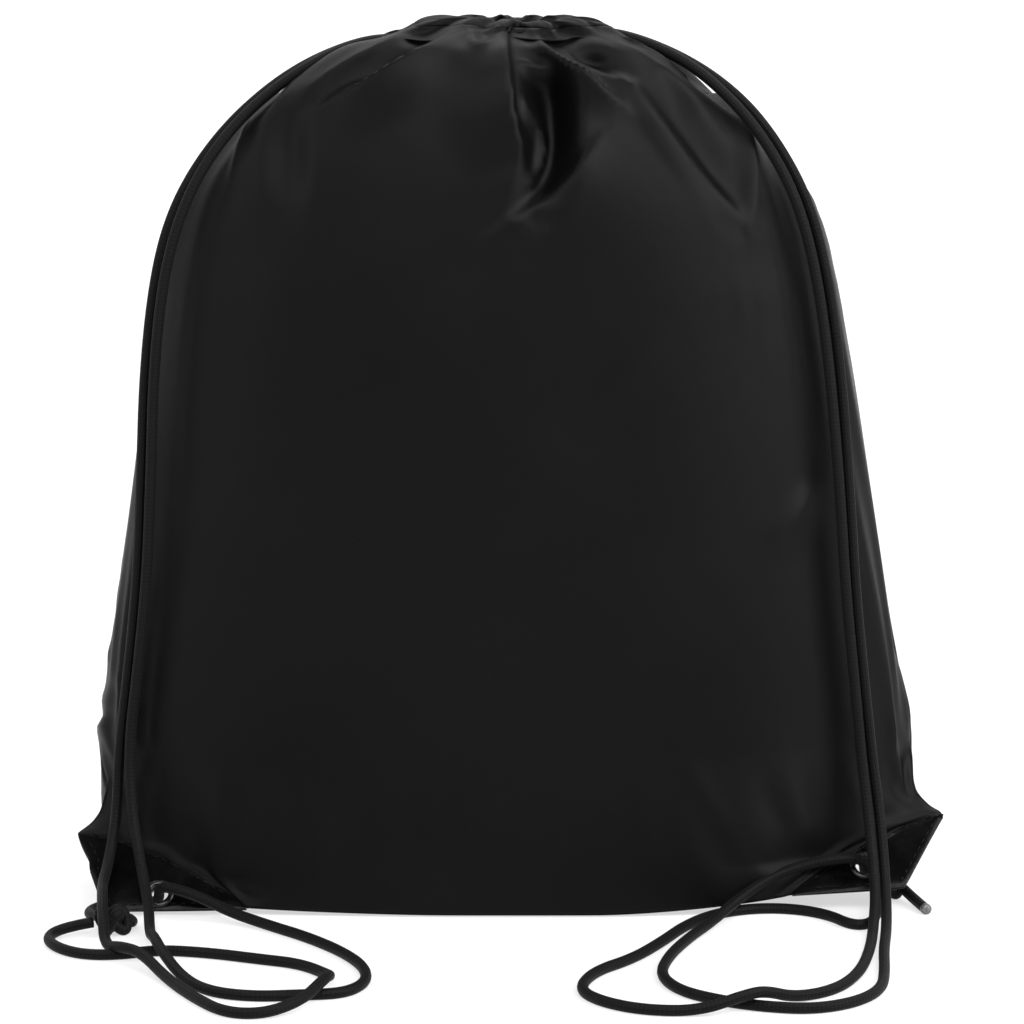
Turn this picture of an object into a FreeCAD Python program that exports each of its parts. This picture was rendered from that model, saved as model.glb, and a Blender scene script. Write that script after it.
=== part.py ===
import FreeCAD, Part
import math
import os

import Sketcher

# Drawstring backpack, stuffed and standing with its mouth pulled shut.
# Millimetres. +Z is up, the front faces -Y, and the origin is on the floor under the middle of the bag.
# The bag is a shell of flattened ellipses stacked from the floor to the gathered mouth. One seam plane,
# 45 degrees steep, runs down from each side seam to the front bottom edge, and the two bottom corners
# lie in that plane as flat ears. Each ear has a patch on both faces and an eyelet through it.
# Two cords run through the gathered hem: the ends of one come out on the right, the ends of the other
# on the left, and every end is knotted at the eyelet of its own side.

Vector = FreeCAD.Vector
Rotation = FreeCAD.Rotation
Placement = FreeCAD.Placement

doc = FreeCAD.newDocument("DrawstringBackpack")

# ---------------------------------------------------------------- driving dimensions

SIZES = [
    ("cord_diameter", 4.0, "braided cord"),
    ("panel_wall", 2.0, "thickness given to the slack panel fabric"),
    ("ear_fabric", 0.6, "one layer of fabric in an ear"),
    ("patch_thick", 0.7, "one corner patch"),
    ("seam_plane_rise", 53.0, "height where the seam plane meets the side seams"),
    ("seam_plane_tilt", 45.0, "slope of the seam plane in degrees"),
    ("eyelet_bore", 7.0, "hole through an eyelet"),
    ("eyelet_barrel", 8.0, "outside of the barrel"),
    ("eyelet_flange", 11.0, "outside of the flange and of the washer"),
    ("eyelet_sheet", 0.5, "thickness of the flange and of the washer"),
    ("hem_base", 306.0, "lower edge of the gathered hem"),
    ("hem_top", 330.0, "upper edge of the gathered hem"),
    ("hem_half_wide", 38.0, "outside of the gathered hem, half width"),
    ("hem_half_deep", 20.0, "outside of the gathered hem, half depth"),
    ("mouth_half_wide", 12.0, "mouth left open, half width"),
    ("mouth_half_deep", 5.5, "mouth left open, half depth"),
    ("channel_half_wide", 28.0, "middle of the cord channel, half width"),
    ("channel_half_deep", 13.0, "middle of the cord channel, half depth"),
    ("channel_width", 6.0, "cord channel, across"),
    ("channel_base", 317.5, "floor of the cord channel"),
    ("channel_roof", 328.5, "roof of the cord channel"),
    ("hem_gap", 15.0, "gap between the two hems at each side seam"),
    ("upper_cord_level", 325.5, "cord whose ends come out on the right"),
    ("lower_cord_level", 320.5, "cord whose ends come out on the left"),
    ("knot_long", 7.0, "knot, half length"),
    ("knot_round", 5.5, "knot, half height"),
]

# The bag's outline: name, height, half width, half depth and sideways lean of each section.
STATIONS = [
    ("foot", 0.0, 130.0, 34.0, 0.0),
    ("heel", 10.0, 149.0, 46.0, 0.0),
    ("ear", 26.0, 156.0, 52.0, -1.0),
    ("hip", 60.0, 156.0, 55.0, -3.0),
    ("waist", 150.0, 142.0, 57.0, -4.0),
    ("chest", 216.0, 132.0, 55.0, -5.0),
    ("shoulder", 266.0, 120.0, 51.0, -6.0),
    ("crown", 292.0, 97.0, 45.0, -7.0),
    ("neck", 306.0, 77.0, 38.0, -6.0),
    ("rim", 313.0, 64.0, 32.0, -4.0),
    ("collar", 316.5, 44.0, 25.0, 0.0),
]

sheet = doc.addObject("Spreadsheet::Sheet", "Sizes")
sizes = {}


def add_size(name, value, note):
    row = len(sizes) + 1
    sheet.set(f"A{row}", note)
    sheet.set(f"B{row}", str(value))
    sheet.setAlias(f"B{row}", name)
    sizes[name] = value


for size_name, size_value, size_note in SIZES:
    add_size(size_name, size_value, size_note)
for station, level, half_wide, half_deep, lean in STATIONS:
    add_size(f"{station}_level", level, f"{station}: height above the floor")
    add_size(f"{station}_half_wide", half_wide, f"{station}: half width")
    add_size(f"{station}_half_deep", half_deep, f"{station}: half depth")
    add_size(f"{station}_lean", lean, f"{station}: sideways lean")
doc.recompute()

sub_parts = []

# ---------------------------------------------------------------- helpers


def new_body(label):
    body = doc.addObject("PartDesign::Body", label)
    body.Label = label
    sub_parts.append(body)
    return body


def origin_plane(body, role):
    return next(item for item in body.Origin.OriginFeatures if item.Role == role)


def new_sketch(body, name, role="XY_Plane", offset=None):
    sketch = body.newObject("Sketcher::SketchObject", name)
    sketch.AttachmentSupport = [(origin_plane(body, role), "")]
    sketch.MapMode = "FlatFace"
    if offset is not None:
        sketch.AttachmentOffset = offset
    return sketch


def add_ellipse(sketch, name, half_wide, half_deep, lean=None):
    """Adds an ellipse whose axes, and centre along X, follow the given expressions."""
    centre_x = 1.0 if lean else 0.0
    curve = sketch.addGeometry(Part.Ellipse(Vector(centre_x, 0, 0), 60, 20))
    sketch.exposeInternalGeometry(curve)
    long_axis = curve + 1
    short_axis = curve + 2
    sketch.addConstraint(Sketcher.Constraint("Horizontal", long_axis))
    if lean:
        sketch.addConstraint(Sketcher.Constraint("PointOnObject", curve, 3, -1))
        shift = sketch.addConstraint(Sketcher.Constraint("DistanceX", -1, 1, curve, 3, centre_x))
        sketch.renameConstraint(shift, f"{name}_lean")
        sketch.setExpression(f"Constraints.{name}_lean", lean)
    else:
        sketch.addConstraint(Sketcher.Constraint("Coincident", curve, 3, -1, 1))
    width = sketch.addConstraint(Sketcher.Constraint("Distance", long_axis, 120.0))
    depth = sketch.addConstraint(Sketcher.Constraint("Distance", short_axis, 40.0))
    sketch.renameConstraint(width, f"{name}_width")
    sketch.renameConstraint(depth, f"{name}_depth")
    sketch.setExpression(f"Constraints.{name}_width", f"2 * ({half_wide})")
    sketch.setExpression(f"Constraints.{name}_depth", f"2 * ({half_deep})")


def add_outline(sketch, points):
    """Adds a closed outline of straight edges through the given points, fixed in place."""
    count = len(points)
    edges = []
    for index in range(count):
        start = Vector(*points[index], 0)
        end = Vector(*points[(index + 1) % count], 0)
        edges.append(sketch.addGeometry(Part.LineSegment(start, end)))
    for index in range(count):
        sketch.addConstraint(Sketcher.Constraint("Coincident", edges[index], 2, edges[(index + 1) % count], 1))
    for edge in edges:
        sketch.addConstraint(Sketcher.Constraint("Block", edge))


def pad(body, sketch, name, length, reverse=False):
    feature = body.newObject("PartDesign::Pad", name)
    feature.Profile = sketch
    feature.setExpression("Length", length)
    feature.Reversed = reverse
    return feature


# ---------------------------------------------------------------- panels

SEAM_TILT = Rotation(Vector(1, 0, 0), sizes["seam_plane_tilt"])
# Distances that reach past the whole bag, for the outlines of what is cut away.
FAR = 400.0
BELOW = 120.0

# The ears in the seam plane: X, and the distance down the plane from the level of the side seams.
# Each goes from the side seam out to the tip, round the corner, in along the bottom edge,
# and back through the panel wall.
EARS = {
    "left": [(-158, -3), (-165, -38), (-153, -70), (-135, -72.8), (-98, -71), (-84, -55),
             (-104, -49), (-124, -41), (-140, -32), (-151, -19)],
    "right": [(155, -3), (165, -29), (147, -61), (128, -64), (107, -65), (84, -55),
              (104, -48.5), (124, -40.5), (138, -31), (149, -15)],
}
# The patches cover the part of an ear that stands clear of the wall.
PATCHES = {
    "left": [(-164.5, -37.5), (-152.6, -69.4), (-135, -72.2), (-98.5, -70.4), (-93, -60),
             (-112, -52), (-130, -44.5), (-146, -34)],
    "right": [(164.4, -29), (146.6, -60.4), (128, -63.4), (103, -64.3), (97, -58),
              (112, -51.5), (130, -43.5), (146, -28)],
}
# Eyelet centres in the seam plane.
EYELETS = {
    "left": (-132.0, -65.5),
    "right": (132.5, -53.5),
}


def seam_plane_offset(layers):
    """The seam plane, moved out by the given distance along its normal."""
    lift = SEAM_TILT.multVec(Vector(0, 0, layers))
    return Placement(Vector(0, 0, sizes["seam_plane_rise"]) + lift, SEAM_TILT)


def section(body, name, station, inset, drop=None):
    sketch = new_sketch(body, name)
    add_ellipse(
        sketch,
        "section",
        f"Sizes.{station}_half_wide - {inset}",
        f"Sizes.{station}_half_deep - {inset}",
        f"Sizes.{station}_lean",
    )
    sketch.setExpression("AttachmentOffset.Base.z", f"Sizes.{station}_level{drop or ''}")
    return sketch


def add_loft(body, kind, name, sketches):
    loft = body.newObject(kind, name)
    loft.Profile = sketches[0]
    loft.Sections = sketches[1:]
    loft.Ruled = False
    return loft


def make_panel(label, prefix, keep_front):
    body = new_body(label)
    names = [entry[0] for entry in STATIONS]
    outer = [section(body, f"{prefix}_outer_{name}", name, "0") for name in names]
    add_loft(body, "PartDesign::AdditiveLoft", f"{prefix}_Skin", outer)
    doc.recompute()

    # The hollow starts one wall above the floor and follows the skin one wall inside it.
    inner = []
    for name in names:
        drop = " + Sizes.panel_wall" if name == "foot" else " - Sizes.panel_wall"
        if name in ("heel", "ear", "hip", "waist", "chest"):
            drop = None
        inner.append(section(body, f"{prefix}_inner_{name}", name, "Sizes.panel_wall", drop))
    add_loft(body, "PartDesign::SubtractiveLoft", f"{prefix}_Hollow", inner)
    doc.recompute()

    # Round the mouth, the panel's edge fits the outside of the gathered hem.
    mouth = new_sketch(body, f"{prefix}_mouth_outline")
    add_ellipse(mouth, "mouth", "Sizes.hem_half_wide", "Sizes.hem_half_deep")
    mouth.setExpression("AttachmentOffset.Base.z", "Sizes.hem_top")
    opening = body.newObject("PartDesign::Pocket", f"{prefix}_Mouth")
    opening.Profile = mouth
    opening.setExpression("Length", "Sizes.hem_top - Sizes.hem_base")
    doc.recompute()

    # Everything on the other side of the side seams and of the seam plane is cut away.
    rise = sizes["seam_plane_rise"]
    seam = [(0, FAR), (0, rise), (-BELOW, rise - BELOW)]
    far_side = [(BELOW, rise - BELOW), (BELOW, FAR)] if keep_front else [(-BELOW, FAR)]
    halves = new_sketch(body, f"{prefix}_seam_line", "YZ_Plane")
    add_outline(halves, seam + far_side)
    cut = body.newObject("PartDesign::Pocket", f"{prefix}_Seam")
    cut.Profile = halves
    cut.Midplane = True
    cut.Length = 2 * FAR
    doc.recompute()

    # The ears: one layer of fabric on this panel's side of the seam plane.
    ears = new_sketch(body, f"{prefix}_ear_outline", "XY_Plane", seam_plane_offset(0))
    for side in ("left", "right"):
        add_outline(ears, EARS[side])
        add_hole(ears, side)
    pad(body, ears, f"{prefix}_Ears", "Sizes.ear_fabric", reverse=not keep_front)
    doc.recompute()
    return body


def add_hole(sketch, side):
    hole = sketch.addGeometry(Part.Circle(Vector(*EYELETS[side], 0), Vector(0, 0, 1), 4))
    fixed_x = sketch.addConstraint(Sketcher.Constraint("DistanceX", hole, 3, EYELETS[side][0]))
    fixed_y = sketch.addConstraint(Sketcher.Constraint("DistanceY", hole, 3, EYELETS[side][1]))
    size = sketch.addConstraint(Sketcher.Constraint("Diameter", hole, sizes["eyelet_barrel"]))
    sketch.renameConstraint(fixed_x, f"{side}_eyelet_x")
    sketch.renameConstraint(fixed_y, f"{side}_eyelet_y")
    sketch.renameConstraint(size, f"{side}_eyelet_hole")
    sketch.setExpression(f"Constraints.{side}_eyelet_hole", "Sizes.eyelet_barrel")


make_panel("front_panel", "Front", True)
make_panel("back_panel", "Back", False)

# ---------------------------------------------------------------- gathered hems


def ring(body, name, level, outside, inside):
    """A sketch of an elliptical ring at a level, between two pairs of half sizes."""
    sketch = new_sketch(body, name)
    add_ellipse(sketch, "outside", *outside)
    add_ellipse(sketch, "inside", *inside)
    sketch.setExpression("AttachmentOffset.Base.z", level)
    return sketch


def make_tunnel(label, prefix, keep_front):
    body = new_body(label)
    outside = ("Sizes.hem_half_wide", "Sizes.hem_half_deep")
    mouth = ("Sizes.mouth_half_wide", "Sizes.mouth_half_deep")
    channel_out = tuple(f"Sizes.channel_half_{way} + Sizes.channel_width / 2" for way in ("wide", "deep"))
    channel_in = tuple(f"Sizes.channel_half_{way} - Sizes.channel_width / 2" for way in ("wide", "deep"))

    floor = ring(body, f"{prefix}_hem_floor", "Sizes.hem_base", outside, mouth)
    pad(body, floor, f"{prefix}_Floor", "Sizes.channel_base - Sizes.hem_base")
    doc.recompute()
    for name, pair in (("outer", (outside, channel_out)), ("inner", (channel_in, mouth))):
        wall = ring(body, f"{prefix}_{name}_wall", "Sizes.channel_base", *pair)
        pad(body, wall, f"{prefix}_{name.title()}Wall", "Sizes.channel_roof - Sizes.channel_base")
        doc.recompute()
    roof = ring(body, f"{prefix}_hem_roof", "Sizes.channel_roof", outside, mouth)
    pad(body, roof, f"{prefix}_Roof", "Sizes.hem_top - Sizes.channel_roof")
    doc.recompute()

    # Each hem stops short of the side seams, and the cords come out of the gap between them.
    edge = -sizes["hem_gap"] / 2 if keep_front else sizes["hem_gap"] / 2
    away = BELOW if keep_front else -BELOW
    other = new_sketch(body, f"{prefix}_gap_outline")
    other.setExpression("AttachmentOffset.Base.z", "Sizes.hem_top")
    add_outline(other, [(-BELOW, edge), (BELOW, edge), (BELOW, away), (-BELOW, away)])
    cut = body.newObject("PartDesign::Pocket", f"{prefix}_Gap")
    cut.Profile = other
    cut.setExpression("Length", "Sizes.hem_top - Sizes.hem_base")
    doc.recompute()
    return body


make_tunnel("front_tunnel", "FrontHem", True)
make_tunnel("back_tunnel", "BackHem", False)

# ---------------------------------------------------------------- corner patches


def make_patch(side, face):
    body = new_body(f"{side}_corner_patch_{face}")
    layers = sizes["ear_fabric"] if face == "front" else -sizes["ear_fabric"]
    sketch = new_sketch(body, f"{side}_{face}_patch_outline", "XY_Plane", seam_plane_offset(layers))
    add_outline(sketch, PATCHES[side])
    add_hole(sketch, side)
    pad(body, sketch, f"{side.title()}{face.title()}Patch", "Sizes.patch_thick", reverse=(face == "back"))
    doc.recompute()
    return body


for side_name in ("left", "right"):
    for face_name in ("front", "back"):
        make_patch(side_name, face_name)

# ---------------------------------------------------------------- eyelets

STACK = "(Sizes.ear_fabric + Sizes.patch_thick)"


def turned_ring(body, name, bore, outside, base, thick):
    """A flat ring about the body's Z axis, as the revolution of its rectangular section."""
    sketch = new_sketch(body, f"{name}_section", "XZ_Plane")
    corners = [(4, 0), (6, 0), (6, 1), (4, 1)]
    edges = []
    for index, corner in enumerate(corners):
        end = corners[(index + 1) % 4]
        edges.append(sketch.addGeometry(Part.LineSegment(Vector(*corner, 0), Vector(*end, 0))))
    for index in range(4):
        sketch.addConstraint(Sketcher.Constraint("Coincident", edges[index], 2, edges[(index + 1) % 4], 1))
    for index, way in enumerate(("Horizontal", "Vertical", "Horizontal", "Vertical")):
        sketch.addConstraint(Sketcher.Constraint(way, edges[index]))
    sides = (
        ("bore_radius", "DistanceX", edges[0], 1, 4.0, f"{bore} / 2"),
        ("outer_radius", "DistanceX", edges[0], 2, 6.0, f"{outside} / 2"),
        ("lower_face", "DistanceY", edges[0], 1, 0.5, base),
        ("upper_face", "DistanceY", edges[2], 1, 1.5, f"{base} + {thick}"),
    )
    for label, kind, edge, point, value, expression in sides:
        index = sketch.addConstraint(Sketcher.Constraint(kind, -1, 1, edge, point, value))
        sketch.renameConstraint(index, label)
        sketch.setExpression(f"Constraints.{label}", expression)
    turn = body.newObject("PartDesign::Revolution", name)
    turn.Profile = sketch
    turn.ReferenceAxis = (sketch, ["V_Axis"])
    turn.Angle = 360.0
    doc.recompute()


def eyelet_placement(side):
    across, down = EYELETS[side]
    centre = seam_plane_offset(0).multVec(Vector(across, down, 0))
    return Placement(centre, SEAM_TILT)


def make_eyelet(side):
    body = new_body(f"{side}_eyelet")
    turned_ring(body, f"{side}_Barrel", "Sizes.eyelet_bore", "Sizes.eyelet_barrel",
                f"-{STACK} - Sizes.eyelet_sheet", f"2 * {STACK} + Sizes.eyelet_sheet")
    turned_ring(body, f"{side}_Flange", "Sizes.eyelet_bore", "Sizes.eyelet_flange",
                STACK, "Sizes.eyelet_sheet")
    body.Placement = eyelet_placement(side)

    washer = new_body(f"{side}_eyelet_washer")
    turned_ring(washer, f"{side}_Washer", "Sizes.eyelet_barrel", "Sizes.eyelet_flange",
                f"-{STACK} - Sizes.eyelet_sheet", "Sizes.eyelet_sheet")
    washer.Placement = eyelet_placement(side)
    doc.recompute()


make_eyelet("left")
make_eyelet("right")

# ---------------------------------------------------------------- cords

CORD = sizes["cord_diameter"]
UPPER = sizes["upper_cord_level"]
LOWER = sizes["lower_cord_level"]

# A cord inside the gathered hem follows an oval of four tangent arcs. Its ends are at the gap on its
# own side, and it bends back at the other.
OVAL_HALF_WIDE = sizes["channel_half_wide"]
OVAL_HALF_DEEP = sizes["channel_half_deep"]
BEND_RADIUS = 7.0
TUNNEL_END_X = 20.0

# The loose strands, from the hem down to the knot. Each is a list of corners of the route.
RIGHT_FRONT_STRAND = [
    (20, -8.5, 325.5), (29, -4.3, 325.5), (44, -3.8, 324), (64, -10.5, 315.5), (80, -17, 302.5),
    (93, -24, 287), (104, -29, 267), (111.5, -30, 241), (117, -31, 205), (121, -35, 162),
    (124, -36.5, 120), (128, -37, 84), (131, -37.5, 55), (134, -44, 30), (135, -58, 11),
    (132.5, -76, 2.5), (129, -100, 2), (123, -127, 2), (113, -147, 2), (98, -156, 2),
    (87, -163.5, 6.8), (80, -168, 6.8), (64, -171, 2), (45, -170, 2), (30, -160, 2), (23, -146, 2),
    (29, -126, 2), (43, -111, 2), (54, -91, 2), (64, -69, 2), (76, -54, 2), (91, -47, 2),
    (106, -48, 2), (118, -56, 2), (125, -69, 2), (132, -68, 2), (135.5, -56, 2),
    (138.5, -44.5, 2.5), (140.7, -33.6, 5.2),
]
RIGHT_BACK_STRAND = [
    (20, 8.5, 325.5), (29, 4.3, 325.5), (45, 2.4, 323.5), (67, -4, 314.5), (85, -12, 301.5),
    (98, -19.5, 285.5), (109, -25, 265), (116, -27, 239), (121.5, -28.5, 203), (125, -32.5, 160),
    (128, -34, 118), (132, -34.5, 82), (135.5, -35, 53), (138.5, -42, 29), (139, -56, 10),
    (137.5, -75, 2.5), (134, -100, 2), (132, -124, 2), (129, -146, 2), (119, -161, 2),
    (103, -169, 2), (86, -166, 2), (71, -159, 2), (58, -148, 2), (52, -130, 2), (56, -108, 2),
    (64, -86, 2), (74, -66, 2.5), (84, -53, 7), (96, -46.5, 13.5), (108, -43.5, 17.5),
    (121, -44, 20.5), (131.9, -42.7, 20.1), (132.9, -34, 11.3), (136.8, -30.5, 9),
]
LEFT_FRONT_STRAND = [
    (-20, -8.5, 320.5), (-29, -4.3, 320.5), (-42, -4, 323), (-57, -6, 322), (-77, -12, 313),
    (-97, -18, 298), (-112, -24, 280), (-122, -27, 260), (-128.5, -28, 236), (-132.5, -28, 202),
    (-134, -30, 163), (-136, -31.5, 125), (-140, -32, 90), (-144, -32, 60), (-142.5, -38, 36),
    (-138.5, -48, 19), (-134.5, -61, 7), (-132.5, -80, 2), (-129, -100, 7), (-125, -114, 6),
    (-116.5, -132, 2), (-106, -149, 2), (-90, -155, 2), (-72, -153, 2), (-58, -151, 2), (-51, -139, 2),
    (-52, -122, 2), (-60, -104, 2), (-74, -85, 2), (-89, -70, 2), (-104, -60, 4), (-115, -56, 8.5),
    (-124, -55, 11.5), (-131.7, -51.3, 11.7), (-132.3, -42.9, 3.3), (-139, -39.5, 2.2),
    (-150, -41, 2), (-157.5, -48.5, 2), (-157, -60.5, 3), (-149.5, -70, 5.5),
]
LEFT_BACK_STRAND = [
    (-20, 8.5, 320.5), (-29, 4.3, 320.5), (-42, 2.6, 323), (-58, 0, 321.5), (-80.5, -6, 312),
    (-101, -11.5, 296), (-116, -16.5, 278), (-126.5, -20.5, 258), (-132.5, -22.5, 234),
    (-136.5, -23, 200), (-138, -26, 161), (-140, -27.5, 123), (-144, -28, 88), (-148, -28.5, 58),
    (-148.5, -34, 35), (-151, -43, 19), (-152, -57, 14), (-150.5, -72, 14.5), (-149, -85, 12),
    (-147, -98, 2.5), (-140, -109, 6), (-132, -116, 6), (-121.5, -134, 2), (-110, -156, 2),
    (-98, -173, 2), (-84, -174, 2), (-72, -165, 4), (-66, -154, 7), (-64, -145, 6.5), (-64, -131, 2),
    (-75, -117, 2), (-91, -111, 2), (-108, -104, 2), (-127, -100, 2), (-141, -106, 2), (-154, -106, 2),
    (-165, -97, 2), (-170, -84, 2), (-164, -75, 3), (-153.7, -75.5, 5),
]
LEFT_TAIL = [(-140.5, -72, 4), (-139, -67, 2.5), (-142, -61, 2)]
RIGHT_TAIL = [(148.2, -30, 4.5), (152, -38, 2.3), (155, -49, 2)]
LEFT_KNOT = (-146.5, -75.0, 5.5)
RIGHT_KNOT = (141.5, -28.0, 5.5)

ARC_SHARE = 0.45


def rounded_path(points):
    """Straight runs joined by tangent arcs, each arc as large as its two runs allow."""
    corners = [Vector(*point) for point in points]
    edges = []
    radii = []
    start = corners[0]
    for before, corner, after in zip(corners, corners[1:], corners[2:]):
        back = (before - corner).normalize()
        ahead = (after - corner).normalize()
        half_turn = (math.pi - back.getAngle(ahead)) / 2
        reach = ARC_SHARE * min(before.distanceToPoint(corner), after.distanceToPoint(corner))
        radius = reach / math.tan(half_turn)
        first = corner + back * reach
        last = corner + ahead * reach
        middle_way = (back + ahead).normalize()
        middle = corner + middle_way * (radius / math.cos(half_turn) - radius)
        edges.append(Part.LineSegment(start, first).toShape())
        edges.append(Part.Arc(first, middle, last).toShape())
        radii.append(radius)
        start = last
    edges.append(Part.LineSegment(start, corners[-1]).toShape())
    return Part.Wire(edges), radii


def tunnel_path(side, level):
    """From the front end, through the front hem, round the far side and back through the back hem."""
    hand = 1 if side == "right" else -1
    bend_centre = OVAL_HALF_WIDE - BEND_RADIUS
    flank_radius = (bend_centre ** 2 + OVAL_HALF_DEEP ** 2 - BEND_RADIUS ** 2) / (
        2 * (OVAL_HALF_DEEP - BEND_RADIUS)
    )
    flank_centre = flank_radius - OVAL_HALF_DEEP
    joint_x = bend_centre * flank_radius / (flank_radius - BEND_RADIUS)
    joint_y = flank_centre * BEND_RADIUS / (flank_radius - BEND_RADIUS)
    end_y = math.sqrt(flank_radius ** 2 - TUNNEL_END_X ** 2) - flank_centre

    def at(across, along):
        return Vector(hand * across, along, level)

    front = Part.Arc(at(TUNNEL_END_X, -end_y), at(0, -OVAL_HALF_DEEP), at(-joint_x, -joint_y))
    bend = Part.Arc(at(-joint_x, -joint_y), at(-OVAL_HALF_WIDE, 0), at(-joint_x, joint_y))
    back = Part.Arc(at(-joint_x, joint_y), at(0, OVAL_HALF_DEEP), at(TUNNEL_END_X, end_y))
    return Part.Wire([front.toShape(), bend.toShape(), back.toShape()])


def make_cord(label, wire):
    """Sweeps the cord's round section along the path, in a sweep of its own."""
    path = doc.addObject("Part::Feature", f"{label}_path")
    path.Shape = wire
    first = wire.Edges[0]
    heading = first.tangentAt(first.FirstParameter)
    ring_section = doc.addObject("Part::Circle", f"{label}_section")
    ring_section.setExpression("Radius", "Sizes.cord_diameter / 2")
    ring_section.Placement = Placement(first.valueAt(first.FirstParameter), Rotation(Vector(0, 0, 1), heading))
    cord = doc.addObject("Part::Sweep", label)
    cord.Label = label
    cord.Sections = [ring_section]
    cord.Spine = (path, [f"Edge{index}" for index in range(1, len(wire.Edges) + 1)])
    cord.Solid = True
    cord.Frenet = False
    cord.Transition = "Right corner"
    doc.recompute()
    sub_parts.append(cord)
    expected = math.pi * CORD ** 2 / 4 * wire.Length
    print(f"{label}: length {wire.Length:.0f}, volume {cord.Shape.Volume:.0f} of {expected:.0f}")
    return cord


make_cord("right_tunnel_cord", tunnel_path("right", UPPER))
make_cord("left_tunnel_cord", tunnel_path("left", LOWER))

STRANDS = {
    "right_front_strand": RIGHT_FRONT_STRAND,
    "right_back_strand": RIGHT_BACK_STRAND,
    "left_front_strand": LEFT_FRONT_STRAND,
    "left_back_strand": LEFT_BACK_STRAND,
    "left_cord_tail": LEFT_TAIL,
    "right_cord_tail": RIGHT_TAIL,
}
for strand_name, strand_points in STRANDS.items():
    strand_wire, strand_radii = rounded_path(strand_points)
    make_cord(strand_name, strand_wire)
    print("  radii", " ".join(f"{radius:.0f}" for radius in strand_radii))

# ---------------------------------------------------------------- knots


def make_knot(label, centre):
    """The outer shape of a tied knot, resting on the floor."""
    knot = doc.addObject("Part::Ellipsoid", label)
    knot.Label = label
    knot.setExpression("Radius1", "Sizes.knot_round")
    knot.setExpression("Radius2", "Sizes.knot_long")
    knot.setExpression("Radius3", "Sizes.knot_round")
    knot.Placement = Placement(Vector(*centre), Rotation())
    doc.recompute()
    sub_parts.append(knot)


make_knot("left_knot", LEFT_KNOT)
make_knot("right_knot", RIGHT_KNOT)

# ---------------------------------------------------------------- checks and output

doc.recompute()
for item in doc.Objects:
    if "Invalid" in item.State or "Error" in item.State:
        raise RuntimeError(f"{item.Name} failed: {item.State}")
for item in sub_parts:
    if item.Shape.isNull() or not item.Shape.isValid():
        raise RuntimeError(f"{item.Label} has no valid shape")
    print(f"{item.Label}: {len(item.Shape.Solids)} solid, volume {item.Shape.Volume:.0f}")

os.makedirs("parts", exist_ok=True)
for item in sub_parts:
    item.Shape.exportStep(f"parts/{item.Label}.step")
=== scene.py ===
import math

import bmesh
import bpy
from mathutils import Matrix, Vector
from mathutils.kdtree import KDTree


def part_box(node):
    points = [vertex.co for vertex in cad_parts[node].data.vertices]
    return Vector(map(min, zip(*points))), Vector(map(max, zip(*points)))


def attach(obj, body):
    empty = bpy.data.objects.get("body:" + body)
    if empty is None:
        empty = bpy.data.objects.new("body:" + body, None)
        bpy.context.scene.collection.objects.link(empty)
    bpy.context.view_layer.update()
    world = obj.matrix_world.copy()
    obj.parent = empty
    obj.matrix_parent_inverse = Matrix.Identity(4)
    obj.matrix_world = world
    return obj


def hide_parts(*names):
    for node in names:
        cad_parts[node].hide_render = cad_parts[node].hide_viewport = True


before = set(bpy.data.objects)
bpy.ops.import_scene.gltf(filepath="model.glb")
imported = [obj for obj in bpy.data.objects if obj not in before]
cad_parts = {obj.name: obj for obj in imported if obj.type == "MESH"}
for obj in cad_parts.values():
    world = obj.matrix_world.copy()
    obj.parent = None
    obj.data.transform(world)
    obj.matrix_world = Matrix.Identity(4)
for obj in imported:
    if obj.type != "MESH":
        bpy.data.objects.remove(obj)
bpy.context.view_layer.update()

CORD = 0.004             # the cords' diameter


def add_object(name, data):
    made = bpy.data.objects.new(name, data)
    bpy.context.scene.collection.objects.link(made)
    return made


# ---------------------------------------------------------------- camera

LENS = 131.72            # in millimetres
LOOKS_DOWN = 10.358      # degrees below level

camera_data = bpy.data.cameras.new("camera")
camera_data.sensor_width = 36.0
camera_data.lens = LENS
camera = add_object("camera", camera_data)
camera.location = (0.0, -1.400, 0.400)
camera.rotation_euler = (math.radians(90.0 - LOOKS_DOWN), 0.0, 0.0)
bpy.context.scene.camera = camera

# ---------------------------------------------------------------- cord routes

# Corners of each loose strand's route, in metres, from the hem down to its knot. Those without a height
# lie on the floor.
RIGHT_FRONT = [
    (0.020, -0.0085, 0.3255), (0.029, -0.0043, 0.3255), (0.044, -0.0038, 0.324), (0.064, -0.0105, 0.3155),
    (0.080, -0.017, 0.3025), (0.093, -0.024, 0.287), (0.104, -0.029, 0.267), (0.1115, -0.030, 0.241),
    (0.117, -0.031, 0.205), (0.121, -0.035, 0.162), (0.124, -0.0365, 0.120), (0.128, -0.037, 0.084),
    (0.131, -0.0375, 0.055), (0.134, -0.044, 0.030), (0.135, -0.058, 0.011), (0.1325, -0.076, 0.0025),
    (0.129, -0.100), (0.123, -0.127), (0.113, -0.147), (0.098, -0.156), (0.087, -0.1635, 0.0068),
    (0.080, -0.168, 0.0068), (0.064, -0.171), (0.045, -0.170), (0.030, -0.160), (0.023, -0.146),
    (0.029, -0.126), (0.043, -0.111), (0.054, -0.091), (0.064, -0.069), (0.076, -0.054), (0.091, -0.047),
    (0.106, -0.048), (0.118, -0.056), (0.125, -0.069), (0.132, -0.068), (0.1355, -0.056),
    (0.1385, -0.0445, 0.0025), (0.1407, -0.0336, 0.0052),
]
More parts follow.
